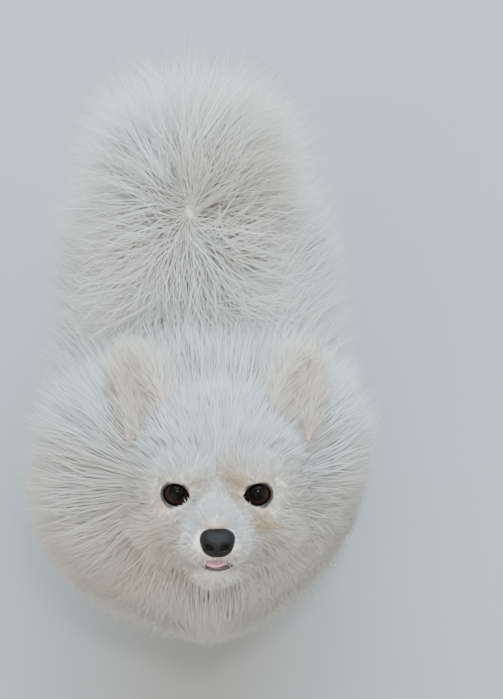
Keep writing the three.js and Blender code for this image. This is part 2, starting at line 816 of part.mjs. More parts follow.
// The trunk's coat lies back along the body, down its sides, and down the chest and the rump.
const rowYs = [-121, -112, -92, -66, -42, -12, 14, 40, 70, 94, 115, 130];
const trunkRows = rowYs.map((y) => trunkStation(trunkCore, y));
const legTops = SIDES.flatMap(([, side]) => [at(side * LEG_OUT, FORE_PAW_Y + 8, 0), at(side * LEG_OUT, 72, 0)]);
const trunkLocks = lockRows(trunkCore, trunkRows, LOCKS.trunk, ({ point, out }) => {
  const fore = clamped((-70 - point.y) / 40);
  const rear = clamped((point.y - 92) / 34);
  const low = clamped(-out.z - 0.3);
  const ruffed = point.z > 200 && point.y < -20;
  const legged = legTops.some((leg) => out.z < -0.3 && Math.hypot(point.x - leg.x, point.y - leg.y) < 27);
  if (ruffed || legged) return null;
  const lie = at(0, 1 - fore - 0.4 * rear, -0.25 - 0.45 * Math.abs(out.x) - fore - 0.8 * rear);
  lie.x += 0.2 * out.x;
  return { lie, scale: 1 - 0.35 * low };
});
const trunkAll = join([trunkFlesh, ...trunkLocks]);

const legs = SIDES.flatMap(([name, side]) => [
  { name: `foreleg_${name}`, side, loft: foreleg(side), rows: [1.5, 2.4] },
  { name: `hindleg_${name}`, side, loft: hindleg(side), rows: [1.6, 2.5] },
]);
const legSpace = legs.map(({ loft }) => loft.solid(FEATHER_DEPTH + GAP).subtract(trunkFlesh));
const tailSpace = tailRoomSolid(GAP).subtract(trunkFlesh);
const trunk = trunkAll.subtract(join([headRoom, neckRoom, ...earRooms, ...legSpace, tailSpace]));

// The trunk parts along the lie of the coat, under the locks that grow in front of each line.
function behind(y, shrink) {
  const s = trunkStation(trunkCore, y);
  const profile = [
    [0, -30],
    [0, 0],
    [4, 6],
    [13, 12.5],
    [26, 18],
    [42, 23],
    [70, 30],
    [110, 60],
    [200, 60],
  ];
  const middle = trunkCore.centre(s);
  const poles = [middle.clone().add(at(0, shrink, 0)), middle.clone().add(at(0, 300, 0))];
  return flare(trunkCore, s, at(0, 1, 0), profile, poles, -shrink);
}

const CHEST_END = -30;
const LOIN_END = 57;
addNode("chest", trunk.subtract(behind(CHEST_END, 0)), FINISH.coat);
const loinOn = trunk.intersect(behind(CHEST_END, GAP));
addNode("loin", loinOn.subtract(behind(LOIN_END, 0)), FINISH.coat);
addNode("rump", loinOn.intersect(behind(LOIN_END, GAP)), FINISH.coat);

const tailAll = join([tailLoft({ wide: 2, high: 1 }).solid(), ...plumeLocks()]);
const tailFree = tailAll.intersect(tailRoomSolid(0)).subtract(join([coreRoom, headRoom, neckRoom]));
addNode("tail", tailFree, FINISH.coat);

const abovePaws = block(at(-400, -400, PAW_HEIGHT), at(400, 400, 400));
legs.forEach(({ name, side, loft, rows }) => {
  const furred = join([loft.solid(), ...featherLocks(loft, rows, side)]);
  const room = loft.solid(FEATHER_DEPTH).intersect(abovePaws);
  addNode(name, furred.intersect(room).subtract(coreRoom), FINISH.coat);
});
SIDES.forEach(([name, side]) => {
  addNode(`forepaw_${name}`, paw(side, FORE_PAW_Y), FINISH.coat);
  addNode(`hindpaw_${name}`, paw(side, HIND_PAW_Y), FINISH.coat);
});

// The origin is under the middle of the figure, on the floor.
const extent = new THREE.Box3().setFromObject(model);
const middle = extent.getCenter(new THREE.Vector3());
model.children.forEach((mesh) => mesh.geometry.translate(-middle.x, -middle.y, -extent.min.z));

export default model;
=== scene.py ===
"""A young white pomeranian that stands and looks up: one skin, its coat, its face and a plain studio.

Lengths are in millimetres of the dog's own frame: +Z up, the face towards -Y, its left side at +X. The head
has a level frame of its own about the point between the eyes. Meshes are written in metres of the shared
frame.
"""

from __future__ import annotations

import logging
import math
from dataclasses import dataclass, field
from enum import Enum, IntEnum

import bpy
import numpy as np
from mathutils import Matrix, Vector
from mathutils.kdtree import KDTree


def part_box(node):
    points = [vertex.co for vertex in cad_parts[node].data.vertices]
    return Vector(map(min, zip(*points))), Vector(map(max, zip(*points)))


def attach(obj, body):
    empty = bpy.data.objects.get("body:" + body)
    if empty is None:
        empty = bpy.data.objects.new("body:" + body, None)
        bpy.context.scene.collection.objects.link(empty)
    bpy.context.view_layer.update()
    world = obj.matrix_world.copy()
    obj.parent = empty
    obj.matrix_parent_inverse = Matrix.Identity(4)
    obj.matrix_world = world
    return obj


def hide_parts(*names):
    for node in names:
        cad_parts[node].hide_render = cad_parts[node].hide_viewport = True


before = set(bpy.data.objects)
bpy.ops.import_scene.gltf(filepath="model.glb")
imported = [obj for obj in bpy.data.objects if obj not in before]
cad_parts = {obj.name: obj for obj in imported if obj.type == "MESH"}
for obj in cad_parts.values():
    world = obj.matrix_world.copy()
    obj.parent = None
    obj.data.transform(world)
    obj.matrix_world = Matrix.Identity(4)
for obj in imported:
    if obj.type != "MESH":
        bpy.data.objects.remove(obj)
LOG = logging.getLogger("pomeranian")

MM = 0.001
SEED = 20310
COAT_MAP = "OFBake"
SIDES = (1, -1)
UP = np.array([0.0, 0.0, 1.0])

EYE_MID = np.array([8.0, -103.0, 288.0])
LEFT_EYE = np.array([28.83, -101.43, 284.53])
HEAD_PITCH = 63.0
HEAD_YAW = -2.4
EYE_GAP = 41.5
EYE_RADIUS = 9.0

LEG_OUT = 36.0
FORE_PAW_Y = -66.0
HIND_PAW_Y = 84.0
PAWS = tuple((x, y) for x in (LEG_OUT, -LEG_OUT) for y in (FORE_PAW_Y, HIND_PAW_Y))
PAW_LENGTH = 36
TOE_SPREAD = 8.6

Colour = tuple[float, float, float, float]


def unit(vectors: np.ndarray) -> np.ndarray:
    """Scales each vector to length one."""
    length = np.linalg.norm(vectors, axis=-1, keepdims=True)
    return vectors / np.maximum(length, 1e-9)


def ramp(values: np.ndarray, low: float, high: float) -> np.ndarray:
    """A smooth step from 0 at low to 1 at high."""
    share = np.clip((values - low) / (high - low), 0.0, 1.0)
    return share * share * (3.0 - 2.0 * share)


def on_surface(directions: np.ndarray, normals: np.ndarray) -> np.ndarray:
    """Turns each direction into the plane that its normal stands on."""
    along = np.sum(directions * normals, axis=-1, keepdims=True)
    return unit(directions - along * normals)


def frame_shift() -> np.ndarray:
    """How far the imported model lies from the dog's own frame, in millimetres."""
    low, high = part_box("eye_left")
    return np.array((low + high) / 2) / MM - LEFT_EYE


SHIFT = frame_shift()


def placed(points: np.ndarray) -> np.ndarray:
    """Takes points of the dog's own frame in millimetres to metres of the shared frame."""
    return (points + SHIFT) * MM


class HeadFrame:
    """The head's own level frame, about the point between the eyes, with the face towards -Y."""

    turn = np.array(
        Matrix.Rotation(math.radians(HEAD_YAW), 3, "Z") @ Matrix.Rotation(math.radians(-HEAD_PITCH), 3, "X")
    )

    @classmethod
    def out(cls, points: np.ndarray) -> np.ndarray:
        """Takes points from the head's frame to the dog's."""
        return points @ cls.turn.T + EYE_MID

    @classmethod
    def into(cls, points: np.ndarray) -> np.ndarray:
        """Takes points from the dog's frame to the head's."""
        return (points - EYE_MID) @ cls.turn

    @classmethod
    def turned(cls, vectors: np.ndarray) -> np.ndarray:
        """Takes directions from the head's frame to the dog's."""
        return vectors @ cls.turn.T


@dataclass
class Form:
    """A mesh in the making: points in millimetres and faces of three or four corners."""

    points: np.ndarray
    faces: list[tuple[int, ...]]

    def in_head(self) -> Form:
        """A copy taken from the head's frame to the dog's."""
        return Form(HeadFrame.out(self.points), self.faces)

    @staticmethod
    def joined(forms: list[Form]) -> Form:
        """One form of many.

        Args:
            forms: the forms to put together.

        Returns:
            The form that holds them all.
        """
        points: list[np.ndarray] = []
        faces: list[tuple[int, ...]] = []
        start = 0
        for form in forms:
            points.append(form.points)
            faces.extend(tuple(corner + start for corner in face) for face in form.faces)
            start += len(form.points)
        return Form(np.concatenate(points), faces)


def rings_form(rings: np.ndarray, first_pole: np.ndarray, last_pole: np.ndarray) -> Form:
    """A closed body from rings of equal point count with a pole at each end.

    Args:
        rings: points as ring, corner, axis.
        first_pole: the point that closes the first ring.
        last_pole: the point that closes the last ring.

    Returns:
        The closed form, facing outward.
    """
    count_rings, count = rings.shape[:2]
    points = np.concatenate([rings.reshape(-1, 3), first_pole[None], last_pole[None]])
    first, last = count_rings * count, count_rings * count + 1
    faces: list[tuple[int, ...]] = []
    for k in range(count):
        following = (k + 1) % count
        faces.append((first, following, k))
        for ring in range(count_rings - 1):
            low, high = ring * count, (ring + 1) * count
            faces.append((low + k, low + following, high + following, high + k))
        end = (count_rings - 1) * count
        faces.append((end + k, end + following, last))
    form = Form(points, faces)
    corners = np.array([face[:3] for face in faces])
    a, b, c = (points[corners[:, k]] - points.mean(0) for k in range(3))
    if np.sum(a * np.cross(b, c)) < 0:
        form.faces = [face[::-1] for face in faces]
    return form


def smooth_rows(rows: np.ndarray, per: int) -> np.ndarray:
    """Puts smooth in-between rows into a table of stations.

    Args:
        rows: stations as row, column.
        per: the steps from each station to the next.

    Returns:
        The finer table, through the same stations.
    """
    padded = np.concatenate([2 * rows[:1] - rows[1:2], rows, 2 * rows[-1:] - rows[-2:-1]])
    fine = []
    for k in range(1, len(rows)):
        p0, p1, p2, p3 = padded[k - 1 : k + 3]
        for t in np.arange(per) / per:
            linear = (p2 - p0) * t
            square = (2 * p0 - 5 * p1 + 4 * p2 - p3) * t * t
            cubic = (3 * p1 - p0 - 3 * p2 + p3) * t**3
            fine.append(0.5 * (2 * p1 + linear + square + cubic))
    fine.append(rows[-1])
    return np.array(fine)


def squared(values: np.ndarray, power: float) -> np.ndarray:
    """Bends a sine or a cosine so that its oval gets squarer sides."""
    return np.sign(values) * np.abs(values) ** (2 / power)


def oval_loft(
    stations: np.ndarray, poles: tuple[np.ndarray, np.ndarray], power: float = 2.0, sides: int = 44
) -> Form:
    """A body swept through ovals.

    Args:
        stations: rows of centre, across, up, half width, reach up and reach down.
        poles: the points that close its ends.
        power: 2 for a plain oval, more for a squarer one.
        sides: corners in each ring.

    Returns:
        The closed form.
    """
    angle = 2 * math.pi * (np.arange(sides) + 0.5) / sides
    wide, high = squared(np.cos(angle), power), squared(np.sin(angle), power)
    centre, across, up = stations[:, 0:3], stations[:, 3:6], stations[:, 6:9]
    half, top, bottom = stations[:, 9], stations[:, 10], stations[:, 11]
    reach = np.where(high[None, :] > 0, top[:, None], bottom[:, None]) * high[None, :]
    rings = (
        centre[:, None]
        + across[:, None] * (half[:, None] * wide[None, :])[..., None]
        + up[:, None] * reach[..., None]
    )
    return rings_form(rings, *poles)


def ball(centre: tuple[float, float, float], radii: tuple[float, float, float], sides: int = 28) -> Form:
    """A rounded mass with its own reach along each axis.

    Args:
        centre: its middle.
        radii: its reach along x, y and z.
        sides: corners in each ring.

    Returns:
        The closed form.
    """
    around = 2 * math.pi * np.arange(sides) / sides
    down = math.pi * np.arange(1, sides // 2) / (sides // 2)
    x = np.sin(down)[:, None] * np.cos(around)[None]
    y = np.sin(down)[:, None] * np.sin(around)[None]
    z = np.cos(down)[:, None] * np.ones(sides)[None]
    size, middle = np.array(radii), np.array(centre)
    return rings_form(np.stack([x, y, z], axis=-1) * size + middle, middle + UP * size, middle - UP * size)


def tube(path: np.ndarray, radii: np.ndarray, closed: bool = False, sides: int = 10) -> Form:
    """A round tube along points.

    Args:
        path: the points that it follows.
        radii: its radius at each point.
        closed: True where its end joins its start.
        sides: corners in each ring.

    Returns:
        The tube's form.
    """
    after = np.roll(path, -1, 0) if closed else np.concatenate([path[1:], path[-1:]])
    before = np.roll(path, 1, 0) if closed else np.concatenate([path[:1], path[:-1]])
    along = unit(after - before)
    off_centre = np.array([1e-4, 2e-4, 3e-4])
    spoke = on_surface(path - path.mean(0) + off_centre, along)
    other = np.cross(along, spoke)
    angle = 2 * math.pi * np.arange(sides) / sides
    rings = path[:, None] + radii[:, None, None] * (
        spoke[:, None] * np.cos(angle)[None, :, None] + other[:, None] * np.sin(angle)[None, :, None]
    )
    if not closed:
        return rings_form(rings, path[0], path[-1])
    count = len(path)
    faces = []
    for ring in range(count):
        low, high = ring * sides, ((ring + 1) % count) * sides
        for k in range(sides):
            following = (k + 1) % sides
            faces.append((low + k, low + following, high + following, high + k))
    return Form(rings.reshape(-1, 3), faces)


def toe_tips(x: float, y: float) -> list[tuple[float, float]]:
    """Where the four toes of a paw reach to.

    Args:
        x: the paw's middle across the dog.
        y: the paw's middle along the dog.

    Returns:
        A place for each toe, from one side of the paw to the other.
    """
    tips = []
    for toe in range(4):
        out = (toe - 1.5) / 1.5
        tips.append((x + out * TOE_SPREAD, y - PAW_LENGTH * (0.33 - 0.09 * out * out)))
    return tips


def object_of(name: str, form: Form) -> bpy.types.Object:
    """A smooth scene object from a form, in metres of the shared frame.

    Args:
        name: the object's name.
        form: its points and faces.

    Returns:
        The object.
    """
    mesh = bpy.data.meshes.new(name)
    mesh.from_pydata(placed(form.points).tolist(), [], form.faces)
    mesh.update()
    mesh.polygons.foreach_set("use_smooth", [True] * len(mesh.polygons))
    made = bpy.data.objects.new(name, mesh)
    bpy.context.scene.collection.objects.link(made)
    return made


def settle_modifiers(piece: bpy.types.Object) -> None:
    """Turns a piece's modifiers into its own mesh.

    Args:
        piece: the piece.
    """
    graph = bpy.context.evaluated_depsgraph_get()
    settled = bpy.data.meshes.new_from_object(piece.evaluated_get(graph), depsgraph=graph)
    old = piece.data
    piece.modifiers.clear()
    piece.data = settled
    bpy.data.meshes.remove(old)


def rows_of(collection: bpy.types.bpy_prop_collection, key: str) -> np.ndarray:
    """Reads the positions or normals of a mesh as rows.

    Args:
        collection: the mesh's vertices or vertex normals.
        key: what to read of each.

    Returns:
        One row a vertex.
    """
    values = np.empty(len(collection) * 3, np.float32)
    collection.foreach_get(key, values)
    return values.reshape(-1, 3).astype(float)


def keep_points(mesh: bpy.types.Mesh, name: str, values: np.ndarray) -> None:
    """Stores a number or a vector at each vertex for the materials to read.

    Args:
        mesh: the mesh.
        name: what the materials call it.
        values: one number or one row a vertex.
    """
    kind, key = ("FLOAT_VECTOR", "vector") if values.ndim == 2 else ("FLOAT", "value")
    layer = mesh.attributes.new(name, kind, "POINT")
    layer.data.foreach_set(key, values.astype(np.float32).ravel())


def nearest_of(points: np.ndarray, line: np.ndarray) -> np.ndarray:
    """How far each point is from the nearest point of a line."""
    return np.min(np.linalg.norm(points[:, None] - line[None], axis=2), axis=1)


class Region(IntEnum):
    """The parts of the body, by how their coat grows."""

    TRUNK = 0
    NECK = 1
    HEAD = 2
    EAR = 3
    TAIL = 4
    LEG = 5
    PAW = 6


class Zone(Enum):
    """Where on its region a kind of coat grows."""

    ALL = "all of it"
    FACE = "the short-haired face alone"
    OFF_FACE = "all but the short-haired face"


@dataclass
class Body:
    """The forms under the coat: trunk, neck, tail, legs and paws."""

    inset: float = 25.0
    tail_radius: float = 9.0
    leg_thin: float = 3.5
    half_length: float = 170.0
    neck_low: tuple[float, float, float] = (-1.0, -62.0, 168.0)
    neck_high: tuple[float, float, float] = (5.0, -84.0, 262.0)
    # The coated trunk from chest to rump: place along the dog, half width, top and bottom.
    trunk_rows: tuple[tuple[float, ...], ...] = (
        (-143, 40, 208, 118),
        (-128, 70, 228, 96),
        (-104, 90, 240, 80),
        (-74, 98, 246, 70),
        (-42, 96, 246, 66),
        (-6, 90, 242, 64),
        (34, 87, 239, 62),
        (72, 87, 238, 60),
        (108, 86, 234, 60),
        (136, 74, 222, 68),
        (155, 50, 204, 88),
    )
    # The coated neck from low to high: share of its length, half width, reach to the rear and to the front.
    neck_rows: tuple[tuple[float, ...], ...] = (
        (0, 92, 70, 84),
        (0.3, 96, 74, 86),
        (0.55, 94, 72, 80),
        (0.8, 84, 62, 66),
        (1, 64, 46, 48),
    )
    tail_knots: tuple[tuple[float, ...], ...] = (
        (0, 108, 196),
        (0, 125, 222),
        (-1, 111, 241),
        (-3, 78, 246),
        (-5, 34, 237),
    )
    # A leg from top to paw: out as a share, place along from the paw, height, half width, reach to the front
    # and to the rear.
    fore_joints: tuple[tuple[float, ...], ...] = (
        (0.92, 10, 130, 20, 20, 22),
        (0.96, 9, 96, 17, 16, 20),
        (1, 7, 62, 13.5, 12.5, 16),
        (1, 6, 36, 12, 11, 12),
        (1, 4, 15, 12, 11.5, 11),
    )
    hind_joints: tuple[tuple[float, ...], ...] = (
        (0.86, -14, 140, 20, 26, 26),
        (0.94, -14, 106, 22, 27, 28),
        (1.02, 2, 74, 18, 20, 23),
        (1.02, 14, 52, 12.5, 12, 13),
        (1, 8, 34, 11.5, 11, 11.5),
        (1, 4, 15, 12, 11.5, 11),
    )

    def trunk(self) -> Form:
        """The trunk from the chest to the rump.

        Returns:
            Its form, inside the coat.
        """
        shrink = 1 - self.inset / self.half_length
        narrow, thinnest = 80, 12
        rows = []
        for y, half, top, bottom in self.trunk_rows:
            reach = max((top - bottom) / 2 - self.inset, thinnest)
            width = half - self.inset * min(1, half / narrow)
            rows.append([0, y * shrink, (top + bottom) / 2, 1, 0, 0, 0, 0, 1, width, reach, reach])
        ends = (np.array([0, -152 * shrink, 162]), np.array([0, 170 * shrink, 150]))
        return oval_loft(smooth_rows(np.array(rows), 3), ends, 2.15)

    def neck(self) -> Form:
        """The neck from the shoulders to the back of the head.

        Returns:
            Its form, inside the coat.
        """
        low, high = np.array(self.neck_low), np.array(self.neck_high)
        axis = unit(high - low)
        across = np.array([1.0, 0.0, 0.0])
        back = -unit(np.cross(across, axis))
        rows = []
        for share, half, rear, front in self.neck_rows:
            centre = low + (high - low) * share
            sizes = [half - self.inset, rear - self.inset, front - self.inset]
            rows.append([*centre, *across, *back, *sizes])
        return oval_loft(smooth_rows(np.array(rows), 3), (low, high + axis * 6))

    def tail(self) -> Form:
        """The tail's own flesh, curved forward over the back and thinner towards its tip.

        Returns:
            Its form.
        """
        shares = np.linspace(0, 1, 26)
        fine = smooth_rows(np.array(self.tail_knots, float), 12)
        run = np.concatenate([[0], np.cumsum(np.linalg.norm(np.diff(fine, axis=0), axis=1))])
        line = np.stack([np.interp(shares * run[-1], run, fine[:, k]) for k in range(3)], -1)
        return tube(line, self.tail_radius * np.sqrt(np.maximum(1 - 0.75 * shares, 0.1)), sides=16)

    def leg(self, side: int, paw: float, joints: tuple[tuple[float, ...], ...]) -> Form:
        """A leg down through its joints.

        Args:
            side: 1 for the dog's left, -1 for its right.
            paw: the paw's place along the dog.
            joints: the rows that shape it, from the top.

        Returns:
            The leg's form.
        """
        rows = []
        for out, along, z, half, front, rear in joints:
            sizes = [half - self.leg_thin, rear - self.leg_thin, front - self.leg_thin]
            rows.append([side * LEG_OUT * out, paw + along, z, 1, 0, 0, 0, 1, 0, *sizes])
        table = smooth_rows(np.array(rows, float), 4)
        return oval_loft(table, (table[0, :3] + [0, 0, 1], table[-1, :3] - [0, 0, 4]), sides=28)

    def legs(self) -> list[Form]:
        """The four legs.

        Returns:
            Fore and hind leg of each side.
        """
        made = []
        for side in SIDES:
            made.append(self.leg(side, FORE_PAW_Y, self.fore_joints))
            made.append(self.leg(side, HIND_PAW_Y, self.hind_joints))
        return made

    def paws(self) -> list[Form]:
        """The four paws, each a pad under four toes.

        Returns:
            Pads and toes.
        """
        made = []
        for x, y in PAWS:
            made.append(ball((x, y + 3, 8.2), (11.5, 13, 8.2)))
            made += [ball((toe_x, toe_y, 6.2), (4.4, 7.6, 6.0), 20) for toe_x, toe_y in toe_tips(x, y)]
        return made


@dataclass
class Head:
    """The head under its hair, with its lids, muzzle, lips and chin, in the head's own frame."""

    lid_radius: float = 10.4
    lid_half_wide: float = 6.9
    lid_half_high: float = 6.1
    lid_corner: float = 1.7
    lid_slant: float = 11.0
    eye_turn: float = 3.0
    eye_deep: float = 4.2
    eye_up: float = 0.6
    ear_half: float = 13.4
    ear_height: float = 35.0
    ear_base: tuple[float, float, float] = (39.5, 36, 35.5)
    ear_splay: float = 13
    ear_turn: float = 16
    ear_lean: float = -8
    mouth_half: float = 26.0
    mouth_gap: float = 2.6
    # Bridge, chin and throat: the middle of each and its reach along x, y and z.
    middle_masses: tuple[tuple[tuple[float, ...], tuple[float, ...]], ...] = (
        ((0, -12, -8), (9, 22, 8)),
        ((0, -18, -35.2), (9.2, 12.5, 5.2)),
        ((0, 2, -33), (15, 20, 9)),
    )
    # Upper lip, brow and cheek of the left side, in the same way.
    side_masses: tuple[tuple[tuple[float, ...], tuple[float, ...]], ...] = (
        ((6.8, -22.5, -21.2), (8.8, 10.5, 7.4)),
        ((17, 1, 11.5), (13, 8, 7)),
        ((23, 10, -15), (15, 15, 14)),
    )
    # Skull and muzzle from the nape to the nose: place forward, half width, top and bottom.
    rows: tuple[tuple[float, ...], ...] = (
        (-60, 27, 22, -26),
        (-49, 36, 31, -33),
        (-34, 41, 35, -37),
        (-20, 41, 33, -37),
        (-10, 38, 27, -36),
        (-3, 33, 18, -35),
        (3, 26.5, 8, -34),
        (9, 20, 0, -34),
        (16, 16, -5, -34),
        (23, 13.5, -8.5, -33),
        (28, 11, -12, -31),
    )
    # An ear from its root to its tip: share of its height, share of its width, depth of its cup.
    ear_rows: tuple[tuple[float, ...], ...] = (
        (-0.3, 0.98, 8),
        (0, 1, 7.5),
        (0.3, 0.98, 6),
        (0.58, 0.9, 4.5),
        (0.8, 0.74, 3.4),
        (0.94, 0.46, 2.2),
    )

    def skull(self) -> Form:
        """The skull and muzzle in one sweep.

        Returns:
            Their form.
        """
        rows = []
        for forward, half, top, bottom in self.rows:
            reach = (top - bottom) / 2
            rows.append([0, -forward, (top + bottom) / 2, 1, 0, 0, 0, 0, 1, half, reach, reach])
        ends = (np.array([0.0, 66, 0]), np.array([0.0, -31, -21]))
        return oval_loft(smooth_rows(np.array(rows, float), 4), ends, 2.2)

    def eye_centre(self, side: int) -> np.ndarray:
        """The middle of an eyeball in the head's frame."""
        return np.array([side * EYE_GAP / 2, self.eye_deep, self.eye_up])

    def opening(self, side: int, radius: float, grow: float = 0.0, steps: int = 56) -> np.ndarray:
        """The almond line between the lids, laid on a ball about the eye.

        Args:
            side: 1 for the dog's left, -1 for its right.
            radius: the ball that the line lies on.
            grow: how far outside the opening it runs.
            steps: its point count.

        Returns:
            Points in the head's frame.
        """
        angle = 2 * math.pi * np.arange(steps) / steps
        inner = np.maximum(-np.cos(angle), 0)
        wide = (self.lid_half_wide + grow) * np.cos(angle) - self.lid_corner * inner**5
        high = (self.lid_half_high + grow) * np.sin(angle) * (1 - 0.3 * inner**3)
        slant = math.radians(self.lid_slant)
        u = wide * math.cos(slant) - high * math.sin(slant)
        v = wide * math.sin(slant) + high * math.cos(slant)
        deep = -np.sqrt(np.maximum(radius**2 - u**2 - v**2, 0.5))
        turn = math.radians(self.eye_turn)
        x = u * math.cos(turn) - deep * math.sin(turn)
        y = u * math.sin(turn) + deep * math.cos(turn)
        return np.stack([side * x, y, v], -1) + self.eye_centre(side)

    def masses(self) -> list[Form]:
        """The rounded masses that shape the face.

        Returns:
            Those in the middle, and on each side its own and the lids' ball.
        """
        made = [ball(centre, radii) for centre, radii in self.middle_masses]
        for side in SIDES:
            for (out, back, high), radii in self.side_masses:
                made.append(ball((side * out, back, high), radii))
            made.append(ball(tuple(self.eye_centre(side)), (self.lid_radius,) * 3, 40))
        return made

    def ear(self, side: int) -> Form:
        """A small cupped ear with a rounded tip, open to the front.

        Args:
            side: 1 for the dog's left, -1 for its right.

        Returns:
            The ear's form.
        """
        half_thick = 1.7
        spread = np.linspace(-1, 1, 15)
        rings = []
        for rise, share, cup in smooth_rows(np.array(self.ear_rows, float), 3):
            half = self.ear_half * share
            hollow = cup * (1 - spread**2)
            height = np.full_like(spread, rise * self.ear_height)
            rear = np.stack([spread * half, hollow + half_thick, height], -1)
            inner = np.stack([spread * half * 0.92, hollow - half_thick, height], -1)
            rings.append(np.concatenate([rear, inner[::-1]]))
        ear = rings_form(np.array(rings), np.array([0, 5, -10.5]), np.array([0, 0.6, 34.5]))
        tilt = Matrix.Rotation(side * math.radians(self.ear_splay), 3, "Y")
        tilt = tilt @ Matrix.Rotation(side * math.radians(self.ear_turn), 3, "Z")
        tilt = tilt @ Matrix.Rotation(math.radians(self.ear_lean), 3, "X")
        out, back, high = self.ear_base
        return Form(ear.points @ np.array(tilt).T + np.array([side * out, back, high]), ear.faces)

    def eye_cut(self, side: int) -> Form:
        """What opens the lids: a bar through the almond.

        Args:
            side: 1 for the dog's left, -1 for its right.

        Returns:
            The bar.
        """
        rim = self.opening(side, 9.6)
        turn = math.radians(self.eye_turn)
        gaze = np.array([side * math.sin(turn), -math.cos(turn), 0])
        rings = np.stack([rim - gaze * 6, rim + gaze * 12])
        return rings_form(rings, rings[0].mean(0), rings[1].mean(0))

    def mouth_cut(self) -> Form:
        """What parts the lips: a wedge that bends down in the middle and narrows to the corners.

        Returns:
            The wedge.
        """
        half = self.mouth_half
        across = np.linspace(-half, half, 27)
        rings = []
        for share in np.linspace(0, 1, 9):
            forward = np.full_like(across, -(6 + 34 * share))
            sag = 1.6 * share * (1 - (across / half) ** 2)
            gap = self.mouth_gap * share
            upper = np.stack([across, forward, -28.2 + gap * 0.8 - sag], -1)
            lower = np.stack([across, forward, -28.5 - gap * 0.9 - sag], -1)
            rings.append(np.concatenate([upper, lower[::-1]]))
        return rings_form(np.array(rings), np.array([0, -5.5, -28.3]), np.array([0, -41.0, -29.6]))


@dataclass(frozen=True)
class CoatLengths:
    """How long the hair is on each part of the dog, in millimetres."""

    trunk: float = 61.0
    belly_less: float = 0.4
    flank_share: float = 0.74
    neck: float = 60.0
    chest_more: float = 6.0
    nose: float = 5.5
    head_more: float = 32.0
    lid: float = 2.4
    ear: float = 17.0
    tail: float = 80.0
    leg: float = 18.0
    thigh_more: float = 20.0
    breeches_more: float = 9.0
    paw: float = 10.0


